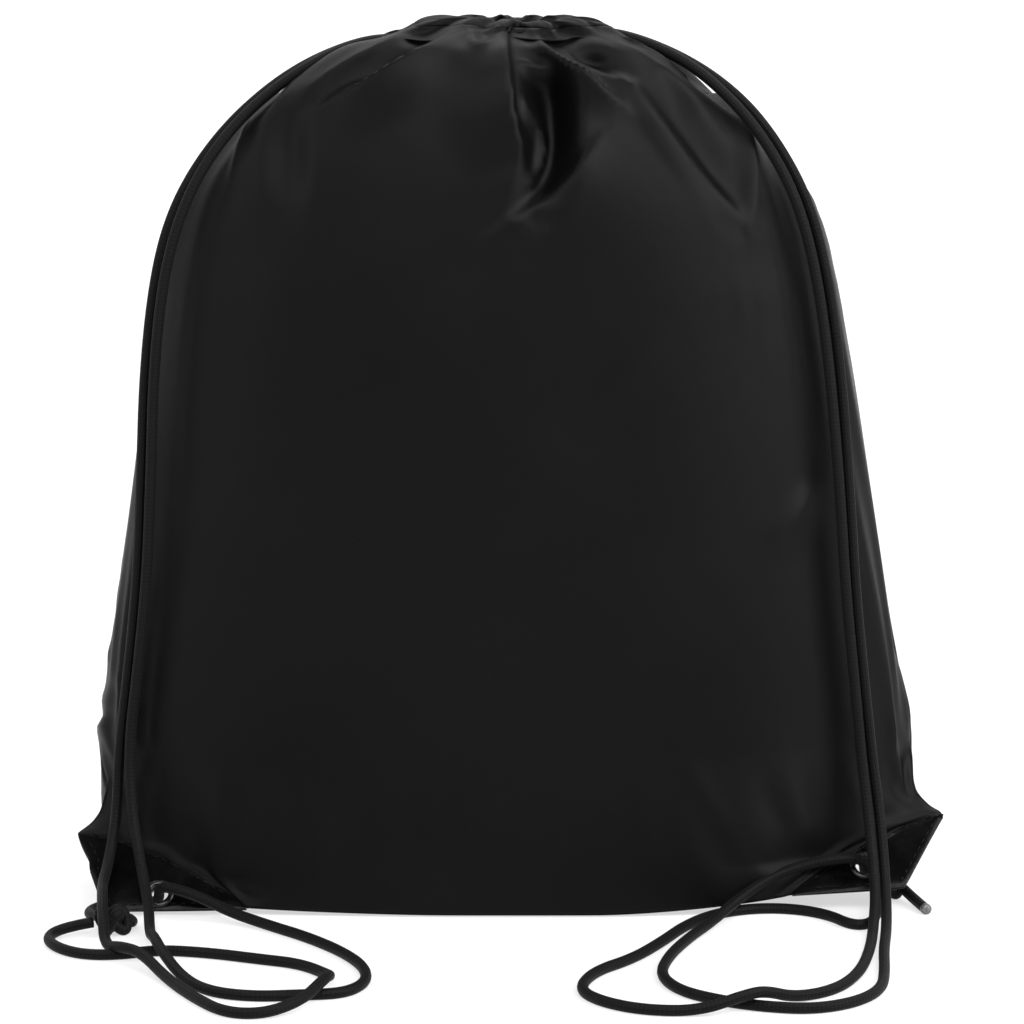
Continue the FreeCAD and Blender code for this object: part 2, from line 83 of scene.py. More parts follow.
RIGHT_BACK = [
    (0.020, 0.0085, 0.3255), (0.029, 0.0043, 0.3255), (0.045, 0.0024, 0.3235), (0.067, -0.004, 0.3145),
    (0.085, -0.012, 0.3015), (0.098, -0.0195, 0.2855), (0.109, -0.025, 0.265), (0.116, -0.027, 0.239),
    (0.1215, -0.0285, 0.203), (0.125, -0.0325, 0.160), (0.128, -0.034, 0.118), (0.132, -0.0345, 0.082),
    (0.1355, -0.035, 0.053), (0.1385, -0.042, 0.029), (0.139, -0.056, 0.010), (0.1375, -0.075, 0.0025),
    (0.134, -0.100), (0.132, -0.124), (0.129, -0.146), (0.119, -0.161), (0.103, -0.169), (0.086, -0.166),
    (0.071, -0.159), (0.058, -0.148), (0.052, -0.130), (0.056, -0.108), (0.064, -0.086),
    (0.074, -0.066, 0.0025), (0.084, -0.053, 0.007), (0.096, -0.0465, 0.0135), (0.108, -0.0435, 0.0175),
    (0.121, -0.044, 0.0205), (0.1319, -0.0427, 0.0201), (0.1329, -0.034, 0.0113), (0.1368, -0.0305, 0.009),
]
LEFT_FRONT = [
    (-0.020, -0.0085, 0.3205), (-0.029, -0.0043, 0.3205), (-0.042, -0.004, 0.323), (-0.057, -0.006, 0.322),
    (-0.077, -0.012, 0.313), (-0.097, -0.018, 0.298), (-0.112, -0.024, 0.280), (-0.122, -0.027, 0.260),
    (-0.1285, -0.028, 0.236), (-0.1325, -0.028, 0.202), (-0.134, -0.030, 0.163), (-0.136, -0.0315, 0.125),
    (-0.140, -0.032, 0.090), (-0.144, -0.032, 0.060), (-0.1425, -0.038, 0.036), (-0.1385, -0.048, 0.019),
    (-0.1345, -0.061, 0.007), (-0.1325, -0.080), (-0.129, -0.100, 0.007), (-0.125, -0.114, 0.006),
    (-0.1165, -0.132), (-0.106, -0.149), (-0.090, -0.155), (-0.072, -0.153), (-0.058, -0.151),
    (-0.051, -0.139), (-0.052, -0.122), (-0.060, -0.104), (-0.074, -0.085), (-0.089, -0.070),
    (-0.104, -0.060, 0.004), (-0.115, -0.056, 0.0085), (-0.124, -0.055, 0.0115), (-0.1317, -0.0513, 0.0117),
    (-0.1323, -0.0429, 0.0033), (-0.139, -0.0395, 0.0022), (-0.150, -0.041), (-0.1575, -0.0485),
    (-0.157, -0.0605, 0.003), (-0.1495, -0.070, 0.0055),
]
LEFT_BACK = [
    (-0.020, 0.0085, 0.3205), (-0.029, 0.0043, 0.3205), (-0.042, 0.0026, 0.323), (-0.058, 0.0, 0.3215),
    (-0.0805, -0.006, 0.312), (-0.101, -0.0115, 0.296), (-0.116, -0.0165, 0.278), (-0.1265, -0.0205, 0.258),
    (-0.1325, -0.0225, 0.234), (-0.1365, -0.023, 0.200), (-0.138, -0.026, 0.161), (-0.140, -0.0275, 0.123),
    (-0.144, -0.028, 0.088), (-0.148, -0.0285, 0.058), (-0.1485, -0.034, 0.035), (-0.151, -0.043, 0.019),
    (-0.152, -0.057, 0.014), (-0.1505, -0.072, 0.0145), (-0.149, -0.085, 0.012), (-0.147, -0.098, 0.0025),
    (-0.140, -0.109, 0.006), (-0.132, -0.116, 0.006), (-0.1215, -0.134), (-0.110, -0.156), (-0.098, -0.173),
    (-0.084, -0.174), (-0.072, -0.165, 0.004), (-0.066, -0.154, 0.007), (-0.064, -0.145, 0.0065),
    (-0.064, -0.131), (-0.075, -0.117), (-0.091, -0.111), (-0.108, -0.104), (-0.127, -0.100),
    (-0.141, -0.106), (-0.154, -0.106), (-0.165, -0.097), (-0.170, -0.084), (-0.164, -0.075, 0.003),
    (-0.1537, -0.0755, 0.005),
]
LEFT_TAIL = [(-0.1405, -0.072, 0.004), (-0.139, -0.067, 0.0025), (-0.142, -0.061)]
RIGHT_TAIL = [(0.1482, -0.030, 0.0045), (0.152, -0.038, 0.0023), (0.155, -0.049)]


def corners(route):
    """A route's corners, all with their heights."""
    return [place if len(place) == 3 else (*place, CORD / 2) for place in route]


def route_curve(name, points):
    """A single open NURBS spline whose control points are the route's corners."""
    data = bpy.data.curves.new(name, "CURVE")
    data.dimensions = "3D"
    data.resolution_u = 12
    spline = data.splines.new("NURBS")
    spline.points.add(len(points) - 1)
    for point, place in zip(spline.points, points):
        point.co = (*place, 1.0)
    spline.order_u = 3
    spline.use_endpoint_u = True
    return add_object(name, data)


# ---------------------------------------------------------------- materials


class Maker:
    """Builds the nodes of a material or of the world."""

    def __init__(self, owner):
        owner.use_nodes = True
        self.owner = owner
        self.tree = owner.node_tree

    def feed(self, node, **inputs):
        """Sets a node's inputs to values, or links them to other nodes' outputs."""
        for name, value in inputs.items():
            socket = node.inputs[name.replace("_", " ")]
            if isinstance(value, bpy.types.NodeSocket):
                self.tree.links.new(value, socket)
            else:
                socket.default_value = value

    def node(self, kind, settings=(), **inputs):
        made = self.tree.nodes.new(kind)
        for key, value in settings:
            setattr(made, key, value)
        self.feed(made, **inputs)
        return made

    def place(self, output="Object", scale=(1.0, 1.0, 1.0)):
        """Texture coordinates: UV is in metres along the cloth, Object in metres in the frame."""
        coordinates = self.node("ShaderNodeTexCoord").outputs[output]
        return self.node("ShaderNodeMapping", Vector=coordinates, Scale=scale).outputs["Vector"]

    def noise(self, vector, scale, detail, roughness):
        made = self.node(
            "ShaderNodeTexNoise", Vector=vector, Scale=scale, Detail=detail, Roughness=roughness,
        )
        return made.outputs["Fac"]

    def wave(self, vector, scale, direction):
        settings = (("wave_type", "BANDS"), ("bands_direction", direction))
        return self.node("ShaderNodeTexWave", settings, Vector=vector, Scale=scale).outputs["Fac"]

    def maths(self, operation, first, second=0.0):
        made = self.node("ShaderNodeMath", [("operation", operation)])
        for socket, value in zip(made.inputs, (first, second)):
            if isinstance(value, float):
                socket.default_value = value
            else:
                self.tree.links.new(value, socket)
        return made.outputs["Value"]

    def ramp(self, value, low, high, start=0.0, end=1.0):
        made = self.node(
            "ShaderNodeMapRange", Value=value, From_Min=start, From_Max=end, To_Min=low, To_Max=high,
        )
        return made.outputs["Result"]

    def colours(self, value, dark, light):
        made = self.node("ShaderNodeValToRGB", Fac=value)
        for element, colour, position in zip(made.color_ramp.elements, (dark, light), (0.3, 0.7)):
            element.color = (*colour, 1.0)
            element.position = position
        return made.outputs["Color"]

    def bump(self, height, distance, strength, **under):
        made = self.node("ShaderNodeBump", Height=height, Distance=distance, Strength=strength, **under)
        return made.outputs["Normal"]

    def finish(self, **values):
        self.feed(self.tree.nodes["Principled BSDF"], **values)
        return self.owner


WEAVE_PITCH = 0.00034    # from yarn to yarn of the nylon
BRAID_PITCH = 0.0030     # from strand to strand along the cord
BRAID_STRANDS = 6.0      # round the cord, in each of the braid's two directions


def new_material(name):
    return Maker(bpy.data.materials.new(name))


def weave(maker):
    """Crossed yarns, as a height from 0 to 1."""
    vector = maker.place("UV")
    # A band texture repeats every 2 pi / 20 of its scaled coordinate.
    scale = 2.0 * math.pi / 20.0 / WEAVE_PITCH
    return maker.maths("MAXIMUM", maker.wave(vector, scale, "X"), maker.wave(vector, scale, "Y"))


def nylon_material(name):
    """Thin black nylon: fine weave, satin sheen, faint crinkles and handling marks."""
    maker = new_material(name)
    cloth = maker.place("UV")
    crinkle = maker.noise(cloth, 55.0, 4.0, 0.6)
    marks = maker.noise(cloth, 14.0, 3.0, 0.5)
    yarn_tone = maker.noise(maker.place("UV", (1.0, 0.05, 1.0)), 900.0, 2.0, 0.6)
    tone = maker.maths("ADD", maker.maths("MULTIPLY", marks, 0.7), maker.maths("MULTIPLY", yarn_tone, 0.3))
    return maker.finish(
        Base_Color=maker.colours(tone, (0.0013, 0.0012, 0.0013), (0.0023, 0.0021, 0.0022)),
        Roughness=maker.ramp(marks, 0.34, 0.46, 0.3, 0.7),
        Normal=maker.bump(weave(maker), 0.00006, 0.5, Normal=maker.bump(crinkle, 0.0006, 0.35)),
        Specular_IOR_Level=0.10, Sheen_Weight=0.015, Sheen_Roughness=0.30,
        Sheen_Tint=(1.0, 0.92, 0.94, 1.0),
    )


def patch_material(name):
    """Glossy coated imitation leather with a fine grain and rubbed spots."""
    maker = new_material(name)
    skin = maker.place()
    settings = [("feature", "SMOOTH_F1")]
    grain = maker.node("ShaderNodeTexVoronoi", settings, Vector=skin, Scale=1100.0).outputs["Distance"]
    rub = maker.noise(skin, 90.0, 3.0, 0.6)
    dents = maker.noise(skin, 60.0, 2.0, 0.5)
    return maker.finish(
        Base_Color=maker.colours(rub, (0.0010, 0.0010, 0.0010), (0.0022, 0.0021, 0.0022)),
        Roughness=maker.ramp(rub, 0.20, 0.34, 0.35, 0.75),
        Normal=maker.bump(grain, 0.00008, 0.35, Normal=maker.bump(dents, 0.0008, 0.45)),
        Specular_IOR_Level=0.07,
    )


def enamel_material(name):
    """Black enamelled metal, rubbed a little lighter in places."""
    maker = new_material(name)
    wear = maker.noise(maker.place(), 700.0, 4.0, 0.6)
    return maker.finish(
        Base_Color=maker.colours(wear, (0.010, 0.010, 0.011), (0.035, 0.034, 0.034)),
        Roughness=maker.ramp(wear, 0.22, 0.42, 0.35, 0.75),
        Normal=maker.bump(wear, 0.00004, 0.4),
        Metallic=0.65,
    )


def cord_material(name):
    """Black braid: two sets of strands that cross over each other round the cord."""
    maker = new_material(name)
    parts = maker.node("ShaderNodeSeparateXYZ", Vector=maker.place("UV")).outputs
    # UV runs in metres along the cord and in whole turns round it.
    along = maker.maths("MULTIPLY", parts["X"], 2.0 * math.pi / BRAID_PITCH)
    around = maker.maths("MULTIPLY", parts["Y"], 2.0 * math.pi * BRAID_STRANDS)
    left = maker.maths("SINE", maker.maths("ADD", along, around))
    right = maker.maths("SINE", maker.maths("SUBTRACT", along, around))
    cross = maker.maths("MULTIPLY", left, right)
    height = maker.ramp(cross, 0.0, 1.0, -1.0, 1.0)
    fuzz = maker.noise(maker.place(), 1500.0, 3.0, 0.6)
    # Painted shade: the base colour follows the braid's relief, darker in the grooves between the strands
    # and lighter on their crests.
    return maker.finish(
        Base_Color=maker.colours(cross, (0.0018, 0.0017, 0.0018), (0.0048, 0.0045, 0.0048)),
        Roughness=maker.ramp(fuzz, 0.52, 0.72, 0.3, 0.7),
        Normal=maker.bump(fuzz, 0.00005, 0.5, Normal=maker.bump(height, 0.00018, 0.7)),
        Specular_IOR_Level=0.11, Sheen_Weight=0.02, Sheen_Roughness=0.5,
    )


def thread_material(name):
    """Twisted black sewing thread."""
    maker = new_material(name)
    twist = maker.noise(maker.place(), 3000.0, 2.0, 0.5)
    return maker.finish(
        Base_Color=maker.colours(twist, (0.0015, 0.0015, 0.0015), (0.0045, 0.0043, 0.0045)),
        Roughness=0.6, Normal=maker.bump(twist, 0.00004, 0.6), Specular_IOR_Level=0.15,
    )


def tip_material(name):
    """The cord's melted end: hard, smooth and greyish."""
    maker = new_material(name)
    lumps = maker.noise(maker.place(), 900.0, 3.0, 0.6)
    return maker.finish(
        Base_Color=maker.colours(lumps, (0.030, 0.030, 0.031), (0.170, 0.165, 0.160)),
        Roughness=maker.ramp(lumps, 0.25, 0.45), Normal=maker.bump(lumps, 0.00015, 0.6),
    )


def floor_material(name):
    """White studio paper that glows more away from the bag, so that it runs into the white wall."""
    maker = new_material(name)
    place = maker.place()
    paper = maker.noise(place, 40.0, 3.0, 0.5)
    away = maker.node("ShaderNodeVectorMath", [("operation", "LENGTH")], Vector=place).outputs["Value"]
    return maker.finish(
        Base_Color=maker.colours(paper, (0.345, 0.345, 0.345), (0.355, 0.355, 0.355)),
        Roughness=0.75, Specular_IOR_Level=0.1, Emission_Color=(1.0, 1.0, 1.0, 1.0),
        Emission_Strength=maker.ramp(away, 0.62, 1.0, 0.4, 2.5),
    )


NYLON = nylon_material("black_nylon")
PATCH = patch_material("coated_patch")
ENAMEL = enamel_material("black_enamel")
BRAID = cord_material("black_braid")
THREAD = thread_material("sewing_thread")
TIP = tip_material("melted_tip")


# ---------------------------------------------------------------- the bag's shape

# Sections of the filled bag: height, half width, half depth, sideways lean.
SECTIONS = [
    (0.000, 0.1300, 0.0515, 0.0000), (0.010, 0.1490, 0.0535, 0.0000), (0.026, 0.1560, 0.0545, -0.0010),
    (0.060, 0.1560, 0.0550, -0.0030), (0.150, 0.1420, 0.0570, -0.0040), (0.216, 0.1320, 0.0550, -0.0050),
    (0.266, 0.1210, 0.0520, -0.0065), (0.292, 0.1030, 0.0470, -0.0080), (0.306, 0.0925, 0.0415, -0.0070),
    (0.315, 0.0800, 0.0355, -0.0070), (0.322, 0.0665, 0.0290, -0.0065), (0.328, 0.0460, 0.0210, -0.0015),
]
COLUMNS = 76             # cells across one panel
LOW_ROWS = 20            # cells from the bottom seam to where both side seams run free
HIGH_ROWS = 64           # cells from there to the mouth
ROWS = LOW_ROWS + HIGH_ROWS
HALF_FLAT = 0.168        # half the flat sack's width
LOW_FLAT = 0.090         # flat length of the low rows
SEAM_RISE = 0.053        # height where the ears' plane meets the side seams
EAR_LEVEL = 0.060        # height of the first row above the ears
FLOOR_GAP = 0.0007       # the cloth's underside lies this far above the floor
LOWERED_ROWS = 22        # high rows whose middle is drawn down behind, where the panel starts at the floor
LOW_BULGE = 0.006        # how far the lowest strip of the front bulges out
SLACK_FROM = 0.236       # height from which the cloth is wider than the bag
HALF_SQRT = math.sqrt(0.5)

# Each ear in its plane, as X and the distance down the plane: the corner of the sack, and the ends
# of the patch on the side seam and on the bottom seam.
EARS = {
    -1: {"corner": (-0.1522, -0.0722), "side": (-0.1650, -0.0375), "base": (-0.0980, -0.0710)},
    1: {"corner": (0.1470, -0.0620), "side": (0.1650, -0.0290), "base": (0.1040, -0.0655)},
}
EYELETS = {-1: (-0.1320, -0.0655), 1: (0.1325, -0.0535)}
EAR_TALL = 0.044         # flat length of an ear along the side seam
EAR_WIDE = 0.056         # flat length of an ear along the bottom seam
EAR_BULGE = 0.5          # how far the patch's inner edge bows away from the corner
EAR_BLEND = 2.4          # at this many times an ear's size the cloth is the filled bag's skin
LAYER_GAP = 0.0004       # half the distance between the two panels inside an ear

# Creases that run down from the mouth: the flat distance from the panel's middle, the depth at the
# mouth and the height where the crease starts. Between each two lies a crest.
FRONT_CREASES = [
    (-0.168, 0.002, 0.290), (-0.128, 0.005, 0.280), (-0.084, 0.007, 0.275), (-0.026, 0.005, 0.300),
    (0.014, 0.011, 0.262), (0.070, 0.007, 0.280), (0.112, 0.005, 0.285), (0.146, 0.003, 0.285),
    (0.168, 0.002, 0.290),
]
FRONT_CRESTS = [-0.150, -0.108, -0.062, -0.006, 0.050, 0.094, 0.130, 0.158]
BACK_CREASES = [
    (-0.168, 0.002, 0.290), (-0.132, 0.008, 0.262), (-0.092, 0.009, 0.252), (-0.056, 0.007, 0.274),
    (-0.014, 0.012, 0.246), (0.036, 0.010, 0.266), (0.076, 0.008, 0.256), (0.118, 0.008, 0.262),
    (0.168, 0.002, 0.290),
]
BACK_CRESTS = [-0.150, -0.114, -0.072, -0.038, 0.012, 0.058, 0.100, 0.142]
REST_WIDER = 0.99        # the cloth's width over the filled bag's, above the slack level
REST_MOUTH = 0.80        # the same at the mouth, whose remaining fullness is inside the hem
CREASE_RISE = 0.060      # height over which a crease grows to its full depth
MOUTH_DIP = 0.015        # how far the mouth's edge dips at the side seams, where the cords come out
DIP_FLAT = 0.022         # flat distance from a side seam to where the dip starts to rise again
DIP_SLOPE = 0.014        # flat distance over which it rises
FRONT_SLACK = 1.00       # the cloth's height over the filled bag's outline, in the middle of a panel
SIDE_SLACK = 1.06        # the same at a side seam


def from_middle(column):
    """Where a column of the grid lies: -1 at the left side seam, 1 at the right one."""
    return 2.0 * column / COLUMNS - 1.0


def blended(a, b, t):
    return a * (1.0 - t) + b * t


def smooth(t):
    t = min(max(t, 0.0), 1.0)
    return t * t * (3.0 - 2.0 * t)


def section_at(level):
    """Half width, half depth and lean of the filled bag at a height, on a smooth curve."""
    heights = [entry[0] for entry in SECTIONS]
    level = min(max(level, heights[0]), heights[-1])
    place = max(i for i in range(len(heights) - 1) if heights[i] <= level)
    before = SECTIONS[max(place - 1, 0)]
    here = SECTIONS[place]
    after = SECTIONS[place + 1]
    beyond = SECTIONS[min(place + 2, len(SECTIONS) - 1)]
    span = after[0] - here[0]
    t = (level - here[0]) / span
    result = []
    for k in (1, 2, 3):
        slope_in = (after[k] - before[k]) / (after[0] - before[0]) * span
        slope_out = (beyond[k] - here[k]) / (beyond[0] - here[0]) * span
        start = (2 * t ** 3 - 3 * t ** 2 + 1) * here[k] + (t ** 3 - 2 * t ** 2 + t) * slope_in
        end = (3 * t ** 2 - 2 * t ** 3) * after[k] + (t ** 3 - t ** 2) * slope_out
        result.append(start + end)
    return result


def in_ear_plane(across, down, out=0.0):
    """A point of the ears' plane: X, the distance down the plane, and the distance out of it."""
    return Vector((across, (down - out) * HALF_SQRT, SEAM_RISE + (down + out) * HALF_SQRT))


def evenly_along(lengths, values, count):
    """Values at count + 1 places, evenly spaced along the given running lengths."""
    found = []
    index = 0
    for step in range(count + 1):
        target = lengths[-1] * step / count
        while index < len(lengths) - 2 and lengths[index + 1] < target:
            index += 1
        part = (target - lengths[index]) / (lengths[index + 1] - lengths[index])
        found.append(values[index] + part * (values[index + 1] - values[index]))
    return found


def high_levels():
    """Heights of the high rows, evenly spaced along the filled bag's outline, and its length."""
    steps = 600
    top = SECTIONS[-1][0]
    rise = (top - EAR_LEVEL) / steps
    lengths = [0.0]
    levels = [EAR_LEVEL]
    before = section_at(EAR_LEVEL)
    for step in range(1, steps + 1):
        level = EAR_LEVEL + rise * step
        here = section_at(level)
        side = math.hypot(here[0] - before[0], rise)
        front = math.hypot(here[1] - before[1], rise)
        lengths.append(lengths[-1] + 0.5 * (side + front))
        levels.append(level)
        before = here
    return evenly_along(lengths, levels, HIGH_ROWS), lengths[-1]


def half_turn(half_wide, half_deep):
    """Angles that divide a half ellipse into equal lengths, one per column, and its whole length."""
    steps = 400
    lengths = [0.0]
    angles = [-math.pi / 2]
    for step in range(steps):
        middle = math.pi * (step + 0.5) / steps - math.pi / 2
        piece = math.hypot(half_wide * math.cos(middle), half_deep * math.sin(middle)) * math.pi / steps
        lengths.append(lengths[-1] + piece)
        angles.append(math.pi * (step + 1) / steps - math.pi / 2)
    return evenly_along(lengths, angles, COLUMNS), lengths[-1]


HIGH_LEVELS, HIGH_LENGTH = high_levels()
HIGH_TURNS = [half_turn(*section_at(level)[:2]) for level in HIGH_LEVELS]
SLACK_ROW = max(i for i in range(HIGH_ROWS) if HIGH_LEVELS[i] <= SLACK_FROM)


def on_section(level, angle, face, spread=0.0):
    """A point of the filled bag's skin; face is -1 in front and 1 behind."""
    half_wide, half_deep, lean = section_at(level)
    return Vector((
        lean + (half_wide + spread) * math.sin(angle),
        face * (half_deep + spread) * math.cos(angle),
        level,
    ))


def high_place(row, column, face):
    """Height and angle of a point above the ears. Behind, the middle of these rows starts at the floor."""
    level = HIGH_LEVELS[row]
    if face > 0:
        middle = 1.0 - from_middle(column) ** 2
        lowered = level - EAR_LEVEL * math.sqrt(middle)
        level = blended(lowered, level, smooth(row / LOWERED_ROWS))
    return level, HIGH_TURNS[row][0][column]


def bottom_edge_place(column):
    """A point of the bottom seam between the ears, along the bag's front lower edge."""
    start = in_ear_plane(*EARS[-1]["base"])
    end = in_ear_plane(*EARS[1]["base"])
    reach = EAR_WIDE / HALF_FLAT
    t = (2.0 * column / COLUMNS - reach) / (2.0 - 2.0 * reach)
    t = min(max(t, 0.0), 1.0)
    place = blended(start, end, t)
    away = smooth(math.sqrt(math.sin(math.pi * t)))
    place.y = blended(place.y, -SECTIONS[0][2] - 0.001, away)
    place.z = blended(place.z, FLOOR_GAP, away)
    return place


def low_place(row, column, face):
    """A point of the low rows: the lowest part of the wall in front, the floor behind."""
    t = row / LOW_ROWS
    level, angle = high_place(0, column, face)
    place = blended(bottom_edge_place(column), on_section(level, angle, face), t)
    if face < 0:
        place.y -= LOW_BULGE * math.sin(math.pi * t) * math.cos(angle)
        return place
    flat = math.sqrt(max(math.cos(angle), 0.0)) * (1.0 - smooth((t - 0.7) / 0.3))
    place.z = blended(place.z, FLOOR_GAP + 0.010 * smooth((t - 0.75) / 0.25), flat)
    return place


def ear_share(row, column):
    """How far a point lies from its corner of the sack, along both seams, as shares of the ear."""
    inward = HALF_FLAT * (1.0 - abs(from_middle(column)))
    upward = row * LOW_FLAT / LOW_ROWS
    return inward / EAR_WIDE, upward / EAR_TALL


def ear_size(along_base, along_side):
    """1 on the patch's inner edge, less nearer to the corner."""
    return along_base + along_side - EAR_BULGE * along_base * along_side


def ear_place(side, along_base, along_side, out=0.0):
    """A point of an ear, from its shares along the two seams."""
    across, down = EARS[side]["corner"]
    base_across, base_down = EARS[side]["base"]
    side_across, side_down = EARS[side]["side"]
    return in_ear_plane(
        across + (base_across - across) * along_base + (side_across - across) * along_side,
        down + (base_down - down) * along_base + (side_down - down) * along_side,
        out,
    )


def filled_place(row, column, face):
    """Where a corner of the flat sack's grid lies on the filled bag, and its size within the ear."""
    if row <= LOW_ROWS:
        place = low_place(row, column, face)
    else:
        level, angle = high_place(row - LOW_ROWS, column, face)
        place = on_section(level, angle, face)
    along_base, along_side = ear_share(row, column)
    if along_base + along_side > 2 * EAR_BLEND or row > 2 * LOW_ROWS:
        return place, EAR_BLEND
    size = ear_size(along_base, along_side)
    if size >= EAR_BLEND or along_base > EAR_BLEND or along_side > EAR_BLEND:
        return place, EAR_BLEND
    side = 1 if 2 * column > COLUMNS else -1
    at_seam = row == 0 or column in (0, COLUMNS)
    out = 0.0 if at_seam else -face * LAYER_GAP
    if size <= 1.0:
        return ear_place(side, along_base, along_side, out), size
    total = along_base + along_side
    product = 2.0 * EAR_BULGE * along_base * along_side
    shrink = 1.0 / total
    if product >= 1e-6:
        shrink = (total - math.sqrt(max(total ** 2 - 2 * product, 0.0))) / product
    edge = ear_place(side, along_base * shrink, along_side * shrink, out)
    return blended(edge, place, smooth((1.0 / shrink - 1.0) / (EAR_BLEND - 1.0))), size


def crease_depth(level, column, face):
    """How far the cloth is folded in at a height: 0 on a crest, the crease's own depth in a crease."""
    creases, crests = (FRONT_CREASES, FRONT_CRESTS) if face < 0 else (BACK_CREASES, BACK_CRESTS)
    across = from_middle(column) * HALF_FLAT
    place = max(i for i in range(len(crests)) if creases[i][0] <= across + 1e-9)
    crest = crests[place]
    crease = creases[place] if across < crest else creases[place + 1]
    t = abs(across - crease[0]) / abs(crest - crease[0])
    return crease[1] * (1.0 - math.sin(0.5 * math.pi * t) ** 0.9) * smooth((level - crease[2]) / CREASE_RISE)


def mouth_dip(column):
    """How far the mouth's edge dips at a column."""
    from_seam = min(column, COLUMNS - column) * HALF_FLAT * 2.0 / COLUMNS
    return MOUTH_DIP * (1.0 - smooth((from_seam - DIP_FLAT) / DIP_SLOPE))


def gathered_place(row, column, face, inset=0.0):
    """Where a corner of the grid starts: on the filled bag, pleated towards the mouth."""
    place, size = filled_place(row, column, face)
    above = row - LOW_ROWS - SLACK_ROW
    if above <= 0:
        return place, size
    level, angle = high_place(row - LOW_ROWS, column, face)
    place = on_section(level, angle, face, -inset - crease_depth(level, column, face))
    place.z -= mouth_dip(column) * smooth(above / (HIGH_ROWS - SLACK_ROW))
    return place, size


def open_place(row, column, face):
    """The same corner before the mouth is pulled shut, which sets the cloth's own lengths."""
    above = row - LOW_ROWS - SLACK_ROW
    if above <= 0:
        return filled_place(row, column, face)[0]
    level = HIGH_LEVELS[SLACK_ROW]
    place = on_section(level, HIGH_TURNS[SLACK_ROW][0][column], face)
    lean = section_at(level)[2]
    share = above / (HIGH_ROWS - SLACK_ROW)
    widen = 1.0 + (REST_WIDER - 1.0) * smooth(4.0 * share)
    widen = blended(widen, REST_MOUTH, smooth(1.6 * share - 0.6))
    place.x = lean + (place.x - lean) * widen
    place.y *= widen
    slack = blended(FRONT_SLACK, SIDE_SLACK, from_middle(column) ** 2)
    place.z = level + above * HIGH_LENGTH / HIGH_ROWS * slack
    return place


# ---------------------------------------------------------------- mesh helpers


def mesh_of(bm, name):
    """Turns a bmesh into a mesh."""
    mesh = bpy.data.meshes.new(name)
    bm.to_mesh(mesh)
    bm.free()
    return mesh


def finished(bm, name, material):
    """Turns a bmesh into a smooth object with a material."""
    mesh = mesh_of(bm, name)
    for face in mesh.polygons:
        face.use_smooth = True
    mesh.materials.append(material)
    return add_object(name, mesh)


def settle(piece, node=None):
    """Puts a piece on the bag's only body, and in the place of a CAD node."""
    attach(piece, "root")
    if node:
        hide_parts(node)


def apply_modifiers(made):
    """Replaces an object's mesh by what its modifiers make of it."""
    graph = bpy.context.evaluated_depsgraph_get()
    mesh = bpy.data.meshes.new_from_object(made.evaluated_get(graph))
    made.modifiers.clear()
    made.data = mesh


def subdivided(made):
    """Adds one subdivision to an object's modifiers."""
    finer = made.modifiers.new("finer", "SUBSURF")
    finer.levels = finer.render_levels = 1
    return finer


def unwrap(layer, faces, places):
    """Gives the faces' corners their places on the flat cloth, in metres."""
    for made in faces:
        for loop in made.loops:
            loop[layer].uv = places[loop.vert]


def full_turn(count):
    """Angles that divide a whole turn."""
    return [2 * math.pi * k / count for k in range(count)]


def running_lengths(points):
    """The length of a line from its start to each of its points."""
    lengths = [0.0]
    for here, there in zip(points, points[1:]):
        lengths.append(lengths[-1] + (there - here).length)
    return lengths


def cap_ends(bm, rings):
    """Closes both ends of a tube of rings."""
    bm.faces.new(list(reversed(rings[0])))
    bm.faces.new(rings[-1])


def grid_faces(bm, rows, closed=False, flip=False):
    """Faces between rows of vertices; closed joins each row's last vertex to its first."""
    made = []
    for low, high in zip(rows, rows[1:]):
        count = len(low) if closed else len(low) - 1
        for k in range(count):
            ring = [low[k], low[(k + 1) % len(low)], high[(k + 1) % len(low)], high[k]]
            if flip:
                ring.reverse()
            made.append(bm.faces.new(ring))
    return made


# ---------------------------------------------------------------- cloth

CLOTH_FRAMES = 30
CLOTH_CAP = 0.016        # the furthest a point of the cloth may move
PRESSURE = 3.5
GRAVITY_SHARE = 0.012
BENDING = 1.00
FILL_GAP = 0.0045        # from the bag's skin to what fills it
CONTACT_GAP = 0.0015     # kept between the cloth and what fills the bag


def sack_mesh():
    """Both panels as one mesh, with the cloth's own lengths and the vertices that are held."""
    bm = bmesh.new()
    grid = {}
    own = []
    held = []
    for face in (-1, 1):
        for row in range(ROWS + 1):
            for column in range(COLUMNS + 1):
                if face > 0 and (row == 0 or column in (0, COLUMNS)):
                    grid[face, row, column] = grid[-1, row, column]
                    continue
                place, size = gathered_place(row, column, face)
                grid[face, row, column] = bm.verts.new(place)
                if size <= 1.02 or row in (0, ROWS):
                    held.append(len(own))
                own.append(open_place(row, column, face))
    for face in (-1, 1):
        rows = [[grid[face, row, column] for column in range(COLUMNS + 1)] for row in range(ROWS + 1)]
        grid_faces(bm, rows, flip=(face > 0))
    bm.verts.index_update()
    order = {key: vertex.index for key, vertex in grid.items()}
    return mesh_of(bm, "sack"), own, held, order


